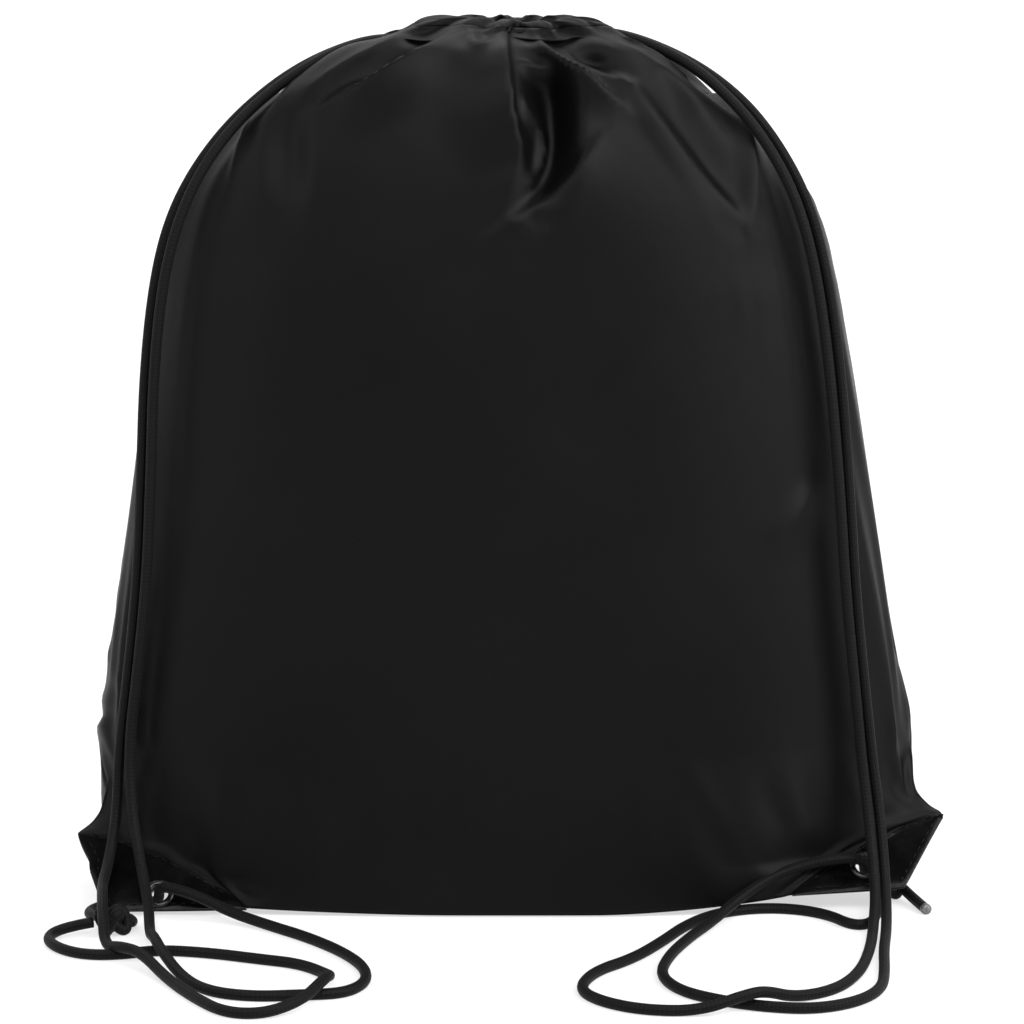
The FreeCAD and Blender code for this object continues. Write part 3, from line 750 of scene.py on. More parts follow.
def stuffing():
    """What fills the bag, a little smaller than its skin. It is removed after the simulation."""
    bm = bmesh.new()
    rings = []
    for row in range(4, ROWS - 2, 2):
        ring = []
        for face, columns in ((-1, range(0, COLUMNS, 2)), (1, range(COLUMNS, 0, -2))):
            for column in columns:
                if row > LOW_ROWS + SLACK_ROW:
                    place = gathered_place(row, column, face, FILL_GAP)[0]
                else:
                    place = filled_place(max(row, LOW_ROWS), column, face)[0]
                    inward = Vector((place.x, place.y, 0.0)).normalized()
                    place -= inward * FILL_GAP
                    place.z = blended(0.006, place.z, min(row / LOW_ROWS, 1.0))
                ring.append(bm.verts.new(place))
        rings.append(ring)
    grid_faces(bm, rings, closed=True)
    cap_ends(bm, rings)
    bmesh.ops.recalc_face_normals(bm, faces=bm.faces)
    return add_object("stuffing", mesh_of(bm, "stuffing"))


def simulated_sack():
    """The sack's cloth, let go from its gathered shape until its folds have formed."""
    mesh, own, held, order = sack_mesh()
    sack = add_object("sack", mesh)
    filling = stuffing()
    filling.modifiers.new("collision", "COLLISION")
    filling.collision.thickness_outer = CONTACT_GAP
    filling.collision.cloth_friction = 5.0
    sack.shape_key_add(name="gathered")
    key = sack.shape_key_add(name="open")
    for point, place in zip(key.data, own):
        point.co = place
    key.value = 0.0
    sack.vertex_groups.new(name="held").add(held, 1.0, "REPLACE")
    cloth = sack.modifiers.new("cloth", "CLOTH")
    settings = cloth.settings
    settings.quality = 7
    settings.mass = 0.1
    settings.tension_stiffness = 20.0
    settings.compression_stiffness = 20.0
    settings.shear_stiffness = 5.0
    settings.bending_model = "ANGULAR"
    settings.bending_stiffness = BENDING
    settings.tension_damping = 8.0
    settings.compression_damping = 8.0
    settings.shear_damping = 5.0
    settings.air_damping = 2.0
    settings.vertex_group_mass = "held"
    settings.rest_shape_key = key
    settings.use_pressure = True
    settings.uniform_pressure_force = PRESSURE
    settings.effector_weights.gravity = GRAVITY_SHARE
    contact = cloth.collision_settings
    contact.use_collision = True
    contact.distance_min = CONTACT_GAP
    contact.use_self_collision = True
    contact.self_distance_min = 0.0012
    contact.collision_quality = 3
    cloth.point_cache.frame_start = 1
    cloth.point_cache.frame_end = CLOTH_FRAMES
    for step in range(1, CLOTH_FRAMES + 1):
        bpy.context.scene.frame_set(step)
    graph = bpy.context.evaluated_depsgraph_get()
    settled = sack.evaluated_get(graph).to_mesh()
    places = [vertex.co.copy() for vertex in settled.vertices]
    starts = [vertex.co.copy() for vertex in mesh.vertices]
    for index, (place, start) in enumerate(zip(places, starts)):
        moved = place - start
        if moved.length > CLOTH_CAP:
            places[index] = start + moved * (CLOTH_CAP / moved.length)
    bpy.data.objects.remove(sack)
    bpy.data.objects.remove(filling)
    bpy.context.scene.frame_set(1)
    return places, order


# ---------------------------------------------------------------- cords, knots and tails


def route_line(name, points):
    """The points that a route's smooth line runs through, as its curve gives them."""
    curve = route_curve(name + "_route", points)
    graph = bpy.context.evaluated_depsgraph_get()
    line = bpy.data.meshes.new_from_object(curve.evaluated_get(graph))
    places = [vertex.co.copy() for vertex in line.vertices]
    bpy.data.meshes.remove(line)
    bpy.data.objects.remove(curve)
    return places


def tube(name, points, radius, material, sides=16, closed=False, thickness=None):
    """A round tube along a line of points, its UV in metres along it and in turns round it."""
    bm = bmesh.new()
    layer = bm.loops.layers.uv.new("UVMap")
    count = len(points)
    rings = []
    lengths = running_lengths(points)
    ahead = (points[1] - points[0]).normalized()
    side = ahead.orthogonal().normalized()
    for index, point in enumerate(points):
        before = points[index - 1] if index else (points[-1] if closed else point)
        after = points[(index + 1) % count] if (closed or index < count - 1) else point
        ahead = (after - before).normalized()
        side = (side - ahead * side.dot(ahead)).normalized()
        up = ahead.cross(side)
        here = radius if thickness is None else radius * thickness(index / (count - 1))
        rings.append([
            bm.verts.new(point + (side * math.cos(a) + up * math.sin(a)) * here)
            for a in full_turn(sides)
        ])
    if closed:
        rings.append(rings[0])
        lengths.append(lengths[-1] + (points[0] - points[-1]).length)
    for index, face in enumerate(grid_faces(bm, rings, closed=True)):
        ring, k = divmod(index, sides)
        for loop, (ahead, turn) in zip(face.loops, ((0, 0), (0, 1), (1, 1), (1, 0))):
            loop[layer].uv = (lengths[ring + ahead], (k + turn) / sides)
    if not closed:
        cap_ends(bm, rings)
    bmesh.ops.recalc_face_normals(bm, faces=bm.faces)
    return finished(bm, name, material)


def make_knot(name, node):
    """An overhand knot pulled tight: one turn of cord that passes through itself."""
    low, high = (Vector(corner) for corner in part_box(node))
    centre = (low + high) / 2
    reach = (high - low) / 2 - Vector((1, 1, 1)) * CORD * 0.48
    widest = 2.75            # reach of the trefoil below before it is scaled to the knot's box
    points = []
    for t in full_turn(96):
        points.append(centre + Vector((
            reach.x * (math.sin(t) + 2.0 * math.sin(2 * t)) / widest,
            reach.y * (math.cos(t) - 2.0 * math.cos(2 * t)) / widest,
            reach.z * -math.sin(3 * t),
        )))
    knot = tube(name, points, CORD * 0.5, BRAID, closed=True)
    settle(knot, node)
    return knot


TIP_STEPS = 10


def make_tail(name, node, points):
    """The cord's free end past the knot, and its melted tip."""
    line = route_line(name, points)
    tail = tube(name, line, CORD / 2, BRAID)
    settle(tail, node)
    end = line[-1]
    back = (line[-3] - end).normalized()
    reach = CORD * 0.45
    # The tip starts a little back from the cord's end and runs just past it.
    tip_line = [end + back * reach * (0.8 - 1.25 * step / TIP_STEPS) for step in range(TIP_STEPS + 1)]
    tip = tube(
        name + "_tip", tip_line, CORD * 0.515, TIP, sides=20,
        thickness=lambda t: math.sqrt(max(1.0 - max(t - 0.45, 0.0) ** 2 / 0.31, 0.04)),
    )
    settle(tip)
    return tail, tip


HEM_EXIT = 0.0085        # the cords leave the hems this far in front of and behind the side seams


def make_tunnel_cord(name, node, side):
    """The cord inside the hems: from its own side round the far side and back."""
    low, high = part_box(node)
    level = (low[2] + high[2]) / 2
    wide = max(abs(low[0]), abs(high[0])) - CORD / 2
    end = min(abs(low[0]), abs(high[0]))
    start = math.acos(end / wide)
    deep = HEM_EXIT / math.sin(start)
    steps = 120
    points = []
    for step in range(steps + 1):
        angle = start + (2 * math.pi - 2 * start) * step / steps
        points.append(Vector((side * wide * math.cos(angle), -deep * math.sin(angle), level)))
    settle(tube(name, points, CORD / 2, BRAID), node)


make_tunnel_cord("right_hem_cord", "right_tunnel_cord", 1)
make_tunnel_cord("left_hem_cord", "left_tunnel_cord", -1)

strands = {}
for strand, strand_route in (
    ("right_front", RIGHT_FRONT), ("right_back", RIGHT_BACK),
    ("left_front", LEFT_FRONT), ("left_back", LEFT_BACK),
):
    line = route_line(f"{strand}_cord", corners(strand_route))
    cord = tube(f"{strand}_cord", line, CORD / 2, BRAID)
    settle(cord, f"{strand}_strand")
    strands[strand] = (cord, line, strand_route[0])

for hand, tail_route in (("left", LEFT_TAIL), ("right", RIGHT_TAIL)):
    knot = make_knot(f"{hand}_overhand_knot", f"{hand}_knot")
    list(make_tail(f"{hand}_cord_end", f"{hand}_cord_tail", corners(tail_route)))


# ---------------------------------------------------------------- panels

CLOTH_PLACES, CLOTH_ORDER = simulated_sack()
CORD_PRESS = 0.0035      # how deep the cords press into the cloth beside them
PRESS_REACH = 0.016      # how far to each side the cloth gives way
PRESS_MOST = 0.007       # the furthest a cord pushes the cloth in
PRESS_GAP = 0.0006       # kept between a cord and the cloth below it
PRESS_FROM = 6           # the first row of the cloth that the cords press in
CALM_TURNS = 5           # how often each point of the gathered cloth is drawn towards its neighbours
CLOTH_LOWEST = 0.0006    # no point of the cloth's grid lies lower

# Folds of the front, each an arc from a start down to an end, as X and height above the floor. Then how
# far the arc's middle bows to the right, how far the fold stands out there (a hollow is less than 0), and
# how far it reaches to the left and to the right. Left and right are the viewer's for a fold that runs
# down, and its direction counts for the others.
FOLDS = [
    # the flap that laps over the middle, the deep hollow beside it, what is folded inside it, and its lip
    ((-0.002, 0.330), (0.005, 0.283), -0.003, 0.009, 0.028, 0.0025),
    ((0.006, 0.326), (0.008, 0.266), 0.007, -0.014, 0.011, 0.014),
    ((0.004, 0.304), (0.006, 0.272), 0.007, 0.005, 0.005, 0.0025),
    ((0.003, 0.317), (0.015, 0.314), 0.0, 0.006, 0.005, 0.005),
    ((0.032, 0.290), (-0.002, 0.259), 0.003, 0.005, 0.004, 0.020),
    # the cup-shaped pit at the mouth and its rim
    ((-0.010, 0.330), (-0.009, 0.322), 0.0, -0.005, 0.005, 0.005),
    ((-0.003, 0.328), (-0.018, 0.328), 0.007, 0.003, 0.002, 0.004),
    # right of the middle: a ridge, its valley, and a long leaf-shaped hollow between two crests
    ((0.006, 0.328), (0.040, 0.301), -0.001, 0.007, 0.011, 0.003),
    ((0.015, 0.326), (0.042, 0.312), 0.0, -0.007, 0.005, 0.006),
    ((0.031, 0.322), (0.086, 0.257), 0.0, 0.004, 0.009, 0.005),
    ((0.038, 0.322), (0.070, 0.302), 0.0025, 0.002, 0.003, 0.003),
    ((0.052, 0.312), (0.085, 0.263), 0.001, -0.007, 0.014, 0.014),
    ((0.069, 0.310), (0.087, 0.257), 0.008, 0.0045, 0.004, 0.012),
    # left of the middle: the long ridge below a valley, and lower ones beside the cords
    ((-0.018, 0.328), (-0.066, 0.302), 0.002, 0.007, 0.003, 0.018),
    ((-0.030, 0.326), (-0.054, 0.310), 0.0, -0.007, 0.006, 0.004),
    ((-0.032, 0.328), (-0.078, 0.303), -0.002, 0.003, 0.004, 0.006),
    ((-0.079, 0.308), (-0.093, 0.289), 0.0, 0.003, 0.003, 0.008),
    ((-0.084, 0.310), (-0.103, 0.273), -0.003, 0.002, 0.003, 0.007),
    ((-0.082, 0.300), (-0.082, 0.264), 0.0, -0.003, 0.011, 0.011),
    # low on the front: a crease beside each pair of cords and one above the right corner
    ((0.113, 0.161), (0.094, 0.137), 0.0, 0.002, 0.009, 0.014),
    ((-0.092, 0.163), (-0.120, 0.154), 0.0, 0.001, 0.010, 0.010),
    ((0.062, 0.062), (0.088, 0.020), 0.0, 0.0015, 0.008, 0.012),
]
FOLD_STEPS = 8
FOLD_POWER = 1.7         # how sharp the folds' crests are
FOLD_ENDS = 0.25         # a fold's height at its ends, as a share of its height in the middle
FOLD_FADE = 0.317        # height above which the folds give way to those of the gathered mouth
FOLD_FADING = 0.008      # height over which they do
FOLD_LEFT = 0.5          # the share of them that is left at the mouth


def fold_arcs():
    """Each fold as points of X, height above the floor and how far it stands out, with its reaches."""
    arcs = []
    for start, end, bow, height, left, right in FOLDS:
        run, drop = end[0] - start[0], start[1] - end[1]
        size = math.hypot(run, drop)
        points = []
        for step in range(FOLD_STEPS + 1):
            t = step / FOLD_STEPS
            aside = 4.0 * bow * t * (1.0 - t) / size
            points.append((
                start[0] + run * t + drop * aside,
                start[1] - drop * t + run * aside,
                height * blended(FOLD_ENDS, 1.0, math.sin(math.pi * t)),
            ))
        arcs.append((points, left, right))
    return arcs


def near_arc(points, reach, place):
    """Whether a point lies within reach of the box round an arc."""
    return all(
        min(point[k] for point in points) - reach < at < max(point[k] for point in points) + reach
        for k, at in ((0, place.x), (1, place.z))
    )


def fold_height(arcs, place):
    """How far the front's folds move the cloth out at a point."""
    total = 0.0
    for points, left, right in arcs:
        if not near_arc(points, max(left, right), place):
            continue
        nearest = (math.inf, 0.0, 0.0)
        for start, end in zip(points, points[1:]):
            run, rise = end[0] - start[0], end[1] - start[1]
            off_run, off_rise = place.x - start[0], place.z - start[1]
            t = (off_run * run + off_rise * rise) / (run ** 2 + rise ** 2)
            t = min(max(t, 0.0), 1.0)
            distance = math.hypot(off_run - run * t, off_rise - rise * t)
            if distance < nearest[0]:
                nearest = (distance, run * off_rise - rise * off_run, blended(start[2], end[2], t))
        distance, side, height = nearest
        share = distance / (right if side > 0.0 else left)
        if share < 1.0:
            total += height * ((1.0 - share) ** FOLD_POWER if height > 0.0 else 1.0 - smooth(share))
    return total * blended(1.0, FOLD_LEFT, smooth((place.z - FOLD_FADE) / FOLD_FADING))


FOLD_ARCS = fold_arcs()


def press_cords():
    """Pushes the cloth in along the strands that lie on it, so that they sit in a shallow valley."""
    points = [point for _, line, _ in strands.values() for point in line]
    tree = KDTree(len(points))
    for index, point in enumerate(points):
        tree.insert(point, index)
    tree.balance()
    for (_, row, _), order in CLOTH_ORDER.items():
        place = CLOTH_PLACES[order]
        near, _, distance = tree.find(place)
        if row < PRESS_FROM or distance > PRESS_REACH:
            continue
        inward = Vector((-place.x, -place.y, 0.0)).normalized()
        depth = CORD_PRESS * (1.0 - smooth(distance / PRESS_REACH))
        gap = (near - place).dot(-inward)
        clear = CORD / 2 + PRESS_GAP
        across = (near - place + inward * gap).length
        if across < clear and gap < clear:
            depth = max(depth, math.sqrt(clear ** 2 - across ** 2) - gap)
        CLOTH_PLACES[order] = place + inward * min(depth, PRESS_MOST)


def calm_cloth():
    """Evens out the smallest crumples of the gathered cloth."""
    for _ in range(CALM_TURNS):
        before = [place.copy() for place in CLOTH_PLACES]
        for (face, row, column), order in CLOTH_ORDER.items():
            if row < LOW_ROWS + SLACK_ROW or row == ROWS or column in (0, COLUMNS):
                continue
            around = Vector((0.0, 0.0, 0.0))
            for up, across in ((1, 0), (-1, 0), (0, 1), (0, -1)):
                around += before[CLOTH_ORDER[face, row + up, column + across]] / 4.0
            CLOTH_PLACES[order] = blended(before[order], around, 0.5)


def keep_off_floor():
    for place in CLOTH_PLACES:
        place.z = max(place.z, CLOTH_LOWEST)


def corner_place(face, row, column):
    return CLOTH_PLACES[CLOTH_ORDER[face, row, column]]


def skin_point(face, across, upward):
    """The cloth's point at a flat place: the distances from the middle and from the bottom seam."""
    column = min(max((across / HALF_FLAT + 1.0) * COLUMNS / 2, 0.0), COLUMNS - 1e-6)
    row = min(max(upward / LOW_FLAT * LOW_ROWS, 0.0), ROWS - 1e-6)
    c, r = int(column), int(row)
    u, v = column - c, row - r
    low = blended(corner_place(face, r, c), corner_place(face, r, c + 1), u)
    high = blended(corner_place(face, r + 1, c), corner_place(face, r + 1, c + 1), u)
    return blended(low, high, v)


def skin_normal(face, across, upward):
    """The direction out of the cloth at a flat place."""
    step = 0.002
    right = skin_point(face, across + step, upward) - skin_point(face, across - step, upward)
    up = skin_point(face, across, upward + step) - skin_point(face, across, upward - step)
    return right.cross(up).normalized() * -face


CLOTH_THICK = 0.0003
HOLE_RADIUS = 0.0045     # of the holes through cloth and patches, out of sight under the eyelets' flanges
HOLE_REACH = 0.004       # how far in front of and behind an eyelet its hole is cut


def punch(bm):
    """Cuts the two eyelet holes: takes out the faces inside them and draws their edges to a circle."""
    axis = Vector((0.0, -HALF_SQRT, HALF_SQRT))
    for side in (-1, 1):
        centre = in_ear_plane(*EYELETS[side])
        inside = []
        for cell in bm.faces:
            away = cell.calc_center_median() - centre
            along = away.dot(axis)
            if abs(along) < HOLE_REACH and (away - axis * along).length < HOLE_RADIUS:
                inside.append(cell)
        rim = [
            vertex for vertex in {corner for cell in inside for corner in cell.verts}
            if not all(cell in inside for cell in vertex.link_faces)
        ]
        bmesh.ops.delete(bm, geom=inside, context="FACES")
        for vertex in rim:
            away = vertex.co - centre
            away -= axis * away.dot(axis)
            vertex.co += away.normalized() * (HOLE_RADIUS - away.length)


def make_panel(name, node, face):
    """One panel of the sack: its grid subdivided once and given the thickness of cloth."""
    bm = bmesh.new()
    layer = bm.loops.layers.uv.new("UVMap")
    rows = [
        [bm.verts.new(corner_place(face, row, column)) for column in range(COLUMNS + 1)]
        for row in range(ROWS + 1)
    ]
    flat = {}
    for row in range(ROWS + 1):
        for column in range(COLUMNS + 1):
            across = from_middle(column) * HALF_FLAT
            flat[rows[row][column]] = (across, row * LOW_FLAT / LOW_ROWS)
    unwrap(layer, grid_faces(bm, rows, flip=(face > 0)), flat)
    panel = finished(bm, name, NYLON)
    subdivided(panel).boundary_smooth = "PRESERVE_CORNERS"
    apply_modifiers(panel)
    if face < 0:
        directions = [vertex.normal.copy() for vertex in panel.data.vertices]
        for vertex, out in zip(panel.data.vertices, directions):
            if out.y < 0.1:
                vertex.co += out * fold_height(FOLD_ARCS, vertex.co)
    bm = bmesh.new()
    bm.from_mesh(panel.data)
    punch(bm)
    bm.to_mesh(panel.data)
    bm.free()
    thick = panel.modifiers.new("thick", "SOLIDIFY")
    thick.thickness = CLOTH_THICK
    thick.offset = -1.0
    apply_modifiers(panel)
    settle(panel, node)
    return panel


calm_cloth()
press_cords()
keep_off_floor()
front = make_panel("front_cloth", "front_panel", -1)
back = make_panel("back_cloth", "back_panel", 1)

# ---------------------------------------------------------------- hems

HEM_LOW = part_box("front_tunnel")[0][2]
HEM_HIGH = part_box("front_tunnel")[1][2]
MOUTH_WIDE = 0.0135      # half the width and half the depth of the opening inside the hems
MOUTH_DEEP = 0.0068
MOUTH_WAVE = 0.0016      # how much further out the opening is on a crest of the gathers
MOUTH_CREASE = 0.008     # depth of a crease at the mouth that has no such wave
HEM_END = 5              # columns left free at each side seam, where the cords come out
HEM_STEPS = 9            # cells of a hem's section over the top, and then down inside and back up
HEM_DOWN_STEPS = 5
HEM_INSIDE = 0.0010      # the hem's inner edge lies this far inside its panel
HEM_PITCH = 0.003        # length of one cell of a hem's section, on the flat cloth
HEM_THICK = 0.0004


def hem_profile(column, face):
    """The hem across one column: from the panel's edge over the top, down inside the mouth and back."""
    edge = corner_place(face, ROWS, column).copy()
    if face < 0:
        out = skin_normal(face, from_middle(column) * HALF_FLAT, (ROWS - 0.5) * LOW_FLAT / LOW_ROWS)
        edge += out * fold_height(FOLD_ARCS, edge)
    below = corner_place(face, ROWS - 3, column)
    angle = HIGH_TURNS[-1][0][column]
    wave = 1.0 - crease_depth(HIGH_LEVELS[-1], column, face) / MOUTH_CREASE
    fine = math.sin(column * 0.55 + face) * 0.0007 + math.sin(column * 1.7 + face) * 0.0002
    inner = Vector((
        (MOUTH_WIDE + MOUTH_WAVE * wave + fine) * math.sin(angle),
        face * (MOUTH_DEEP + MOUTH_WAVE * wave + fine) * math.cos(angle),
        0.0,
    ))
    crest = min(edge.z + 0.0025, HEM_HIGH + 0.001) + fine
    points = [edge.copy()]
    for step in range(1, HEM_STEPS + 1):
        t = step / HEM_STEPS
        place = blended(edge, inner, t)
        place.z = edge.z + (crest - edge.z) * math.sin(math.pi * min(t * 1.1, 1.0)) ** 0.6
        place.z -= 0.004 * smooth((t - 0.6) / 0.4)
        points.append(place)
    for step in range(1, HEM_DOWN_STEPS + 1):
        t = step / HEM_DOWN_STEPS
        place = inner * (1.0 + 0.25 * t)
        place.z = points[HEM_STEPS].z - (points[HEM_STEPS].z - HEM_LOW - 0.002) * t
        points.append(place)
    start = points[-1].copy()
    inward = Vector((below.x, below.y, 0.0)).normalized() * HEM_INSIDE
    for step in range(1, HEM_DOWN_STEPS):
        points.append(blended(start, below, step / HEM_DOWN_STEPS) - inward)
    points.append(below - inward)
    return points


def make_hem(name, node, face):
    """One hem, from its gathered edge to the cloth that closes it below the cords."""
    bm = bmesh.new()
    layer = bm.loops.layers.uv.new("UVMap")
    profiles = []
    for column in range(HEM_END, COLUMNS - HEM_END + 1):
        profiles.append([bm.verts.new(point) for point in hem_profile(column, face)])
    pitch = 2.0 * HALF_FLAT / COLUMNS
    flat = {}
    for i, profile in enumerate(profiles):
        for k, vertex in enumerate(profile):
            flat[vertex] = (i * pitch, k * HEM_PITCH)
    unwrap(layer, grid_faces(bm, profiles, flip=(face < 0)), flat)
    hem = finished(bm, name, NYLON)
    hem.modifiers.new("thick", "SOLIDIFY").thickness = HEM_THICK
    subdivided(hem)
    apply_modifiers(hem)
    settle(hem, node)
    return hem


front_hem = make_hem("front_hem", "front_tunnel", -1)
back_hem = make_hem("back_hem", "back_tunnel", 1)

# ---------------------------------------------------------------- corner patches

PATCH_CELLS = 16
PATCH_THICK = 0.0007
CORNERS = [(hand, side, way, face) for hand, side in (("left", -1), ("right", 1))
           for way, face in (("front", -1), ("back", 1))]


def patch_point(side, face, along_base, along_side, out):
    """A point on a patch, from its shares along the two seams, at a distance off the cloth."""
    across = side * (HALF_FLAT - along_base * EAR_WIDE)
    upward = along_side * EAR_TALL
    return skin_point(face, across, upward) + skin_normal(face, across, upward) * out


def patch_reach(share):
    """The patch's inner edge: how far along the other seam it is, at a share of one seam."""
    return (1.0 - share) / (1.0 - EAR_BULGE * share)


def make_patch(hand, side, way, face):
    """The patch on one face of one ear, with its eyelet hole and rounded edges."""
    bm = bmesh.new()
    rows = []
    for i in range(PATCH_CELLS + 1):
        along_base = 0.995 * i / PATCH_CELLS
        reach = patch_reach(along_base)
        row = []
        for k in range(PATCH_CELLS + 1):
            along_side = reach * k / PATCH_CELLS
            out = PATCH_THICK * 0.7 + 0.0003 * math.sin(3.0 * along_base + 5.0 * along_side + side)
            row.append(bm.verts.new(patch_point(side, face, along_base, along_side, out)))
        rows.append(row)
    grid_faces(bm, rows)
    bmesh.ops.remove_doubles(bm, verts=bm.verts, dist=0.00002)
    punch(bm)
    bmesh.ops.recalc_face_normals(bm, faces=bm.faces)
    patch = finished(bm, f"{hand}_patch_{way}", PATCH)
    thick = patch.modifiers.new("thick", "SOLIDIFY")
    thick.thickness = PATCH_THICK
    thick.offset = 0.0
    rounded = patch.modifiers.new("rounded", "BEVEL")
    rounded.width = 0.00025
    rounded.segments = 2
    rounded.limit_method = "ANGLE"
    rounded.angle_limit = math.radians(50.0)
    apply_modifiers(patch)
    settle(patch, f"{hand}_corner_patch_{way}")


for corner in CORNERS:
    make_patch(*corner)

# ---------------------------------------------------------------- stitches

STITCH = 0.0026          # length of one stitch
STITCH_GAP = 0.0011
STITCH_CELLS = 6         # cells along a stitch and round it
STITCH_INSET = 0.06      # from the patch's edges, as a share of the seams' lengths
THREAD_RADIUS = 0.00022


def add_stitches(bm, line, normals):
    """Short stitches with rounded ends along a line, each sunk a little at both ends."""
    lengths = running_lengths(line)
    total = lengths[-1]
    start = STITCH_GAP

    def at(distance):
        index = max(i for i in range(len(lengths) - 1) if lengths[i] <= distance)
        part = (distance - lengths[index]) / (lengths[index + 1] - lengths[index])
        return blended(line[index], line[index + 1], part), blended(normals[index], normals[index + 1], part)

    while start + STITCH < total:
        rings = []
        for step in range(STITCH_CELLS + 1):
            t = step / STITCH_CELLS
            place, normal = at(start + STITCH * t)
            after = at(min(start + STITCH * t + 0.0002, total - 1e-6))[0]
            ahead = (after - place).normalized()
            side = ahead.cross(normal).normalized()
            lift = THREAD_RADIUS * (2.2 * math.sin(math.pi * t) - 0.6)
            radius = THREAD_RADIUS * (0.35 + 0.65 * math.sin(math.pi * t) ** 0.5)
            rings.append([
                bm.verts.new(place + normal * (lift + radius * math.sin(a)) + side * radius * math.cos(a))
                for a in full_turn(STITCH_CELLS)
            ])
        grid_faces(bm, rings, closed=True)
        cap_ends(bm, rings)
        start += STITCH + STITCH_GAP


def patch_stitches(hand, side, way, face):
    """A row of stitches just inside the patch's edges."""
    bm = bmesh.new()
    steps = 40
    first = STITCH_INSET * 0.6
    base, seam, edge = [], [], []
    for k in range(steps + 1):
        base.append((first + (0.90 - STITCH_INSET) * k / steps, STITCH_INSET))
        seam.append((STITCH_INSET, first + (0.88 - STITCH_INSET) * k / steps))
        share = 0.06 + 0.86 * k / steps
        edge.append((share * 0.955, patch_reach(share) * 0.955))
    for run in (base, seam, edge):
        line = [patch_point(side, face, b, s, PATCH_THICK * 1.15) for b, s in run]
        normals = [
            skin_normal(face, side * (HALF_FLAT - b * EAR_WIDE), s * EAR_TALL) for b, s in run
        ]
        add_stitches(bm, line, normals)
    bmesh.ops.recalc_face_normals(bm, faces=bm.faces)
    settle(finished(bm, f"{hand}_stitches_{way}", THREAD))


for corner in CORNERS:
    patch_stitches(*corner)

# ---------------------------------------------------------------- eyelets

EYELET_HOLE = 0.0035     # the hole's radius in the barrel
EYELET_HALF = 0.0013     # from the ears' plane to the underside of a flange
FLANGE_RADIUS = 0.0057
FLANGE_THICK = 0.0002    # at its rims
FLANGE_CROWN = 0.0008    # how far its face rises between them
LATHE_SIDES = 48


def lathe(name, outline, place, node=None):
    """An outline of radius and height turned about the normal of the ears' plane."""
    bm = bmesh.new()
    turn = Matrix.Rotation(math.radians(45.0), 4, "X")
    move = Matrix.Translation(place)
    rings = []
    for radius, height in outline:
        rings.append([
            bm.verts.new(move @ (turn @ Vector((radius * math.cos(a), radius * math.sin(a), height))))
            for a in full_turn(LATHE_SIDES)
        ])
    rings.append(rings[0])
    grid_faces(bm, rings, closed=True)
    bmesh.ops.recalc_face_normals(bm, faces=bm.faces)
    settle(finished(bm, name, ENAMEL), node)


def rounded_ring(inner, outer, low, high, crown):
    """The section of a flange whose face rises to a crown and rolls over at both rims."""
    middle = (inner + outer) / 2
    half = (outer - inner) / 2
    points = []
    for step in range(15):
        t = math.pi * step / 14
        points.append((middle - half * math.cos(t), high + crown * math.sin(t) ** 0.8))
    for step in range(7):
        t = step / 6
        points.append((outer - (outer - inner) * t, low))
    return points


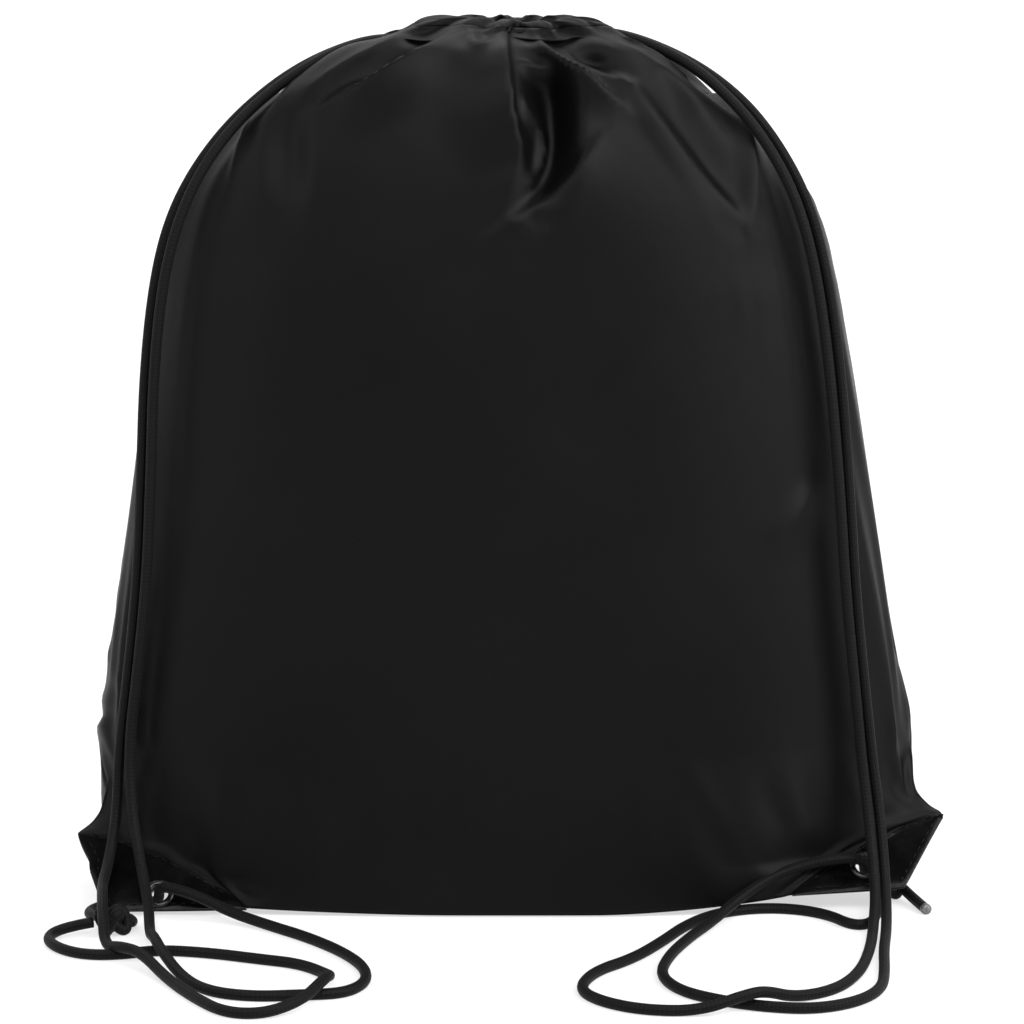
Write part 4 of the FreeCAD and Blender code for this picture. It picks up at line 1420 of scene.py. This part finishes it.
def make_eyelet(hand, side):
    """An eyelet: its flange in front, the barrel through the ear and the washer behind."""
    place = in_ear_plane(*EYELETS[side])
    hole, half = EYELET_HOLE, EYELET_HALF
    flange = rounded_ring(hole, FLANGE_RADIUS, half, half + FLANGE_THICK, FLANGE_CROWN)
    lathe(f"{hand}_eyelet_flange", flange, place, f"{hand}_eyelet")
    barrel = [(hole, half + 0.0005), (hole, -half - 0.0005), (0.0040, -half - 0.0009), (0.0041, half)]
    lathe(f"{hand}_eyelet_barrel", barrel, place)
    washer = [(r, -h) for r, h in rounded_ring(0.0036, 0.0056, half, half + FLANGE_THICK, 0.0005)]
    lathe(f"{hand}_eyelet_rear", washer, place, f"{hand}_eyelet_washer")


make_eyelet("left", -1)
make_eyelet("right", 1)

# ---------------------------------------------------------------- floor and light

FLOOR_HALF = 14.0
floor_mesh = bpy.data.meshes.new("floor")
floor_mesh.from_pydata(
    [(x * FLOOR_HALF, y * FLOOR_HALF, 0) for x, y in ((-1, -1), (1, -1), (1, 1), (-1, 1))],
    [], [(0, 1, 2, 3)],
)
floor_mesh.materials.append(floor_material("white_floor"))
add_object("floor", floor_mesh)

# Name, place, height of the point above the origin that it faces, width and height, and power in watts.
LIGHTS = [
    ("top_light", (0.0, 0.55, 1.50), 0.25, (1.6, 0.8), 16.0),
    ("left_light", (-1.35, -0.70, 1.00), 0.15, (0.9, 1.2), 12.0),
    ("right_light", (1.35, -0.70, 1.00), 0.18, (0.9, 1.2), 30.0),
    ("front_light", (0.25, -1.75, 1.80), 0.25, (2.2, 0.8), 52.0),
]
for light_name, light_place, aim, light_size, power in LIGHTS:
    light_data = bpy.data.lights.new(light_name, "AREA")
    light_data.shape = "RECTANGLE"
    light_data.size, light_data.size_y = light_size
    light_data.energy = power
    light = add_object(light_name, light_data)
    light.location = light_place
    facing = Vector((0.0, 0.0, aim)) - Vector(light_place)
    light.rotation_euler = facing.to_track_quat("-Z", "Y").to_euler()

# The studio lights the bag from behind more than from the front, and its walls look white all round.
studio = bpy.data.worlds.new("studio")
sky = Maker(studio)
behind = sky.node(
    "ShaderNodeSeparateXYZ", Vector=sky.node("ShaderNodeTexCoord").outputs["Generated"],
).outputs["Y"]
seen = sky.node("ShaderNodeLightPath").outputs["Is Camera Ray"]
wall = sky.node("ShaderNodeMix", Factor=seen, A=sky.ramp(behind, 0.02, 0.8, -0.35, 0.5), B=1.0)
sky.feed(sky.tree.nodes["Background"], Strength=wall.outputs["Result"], Color=(1.0, 1.0, 1.0, 1.0))
bpy.context.scene.world = studio
bpy.context.scene.view_settings.view_transform = "Standard"
bpy.context.scene.view_settings.look = "None"
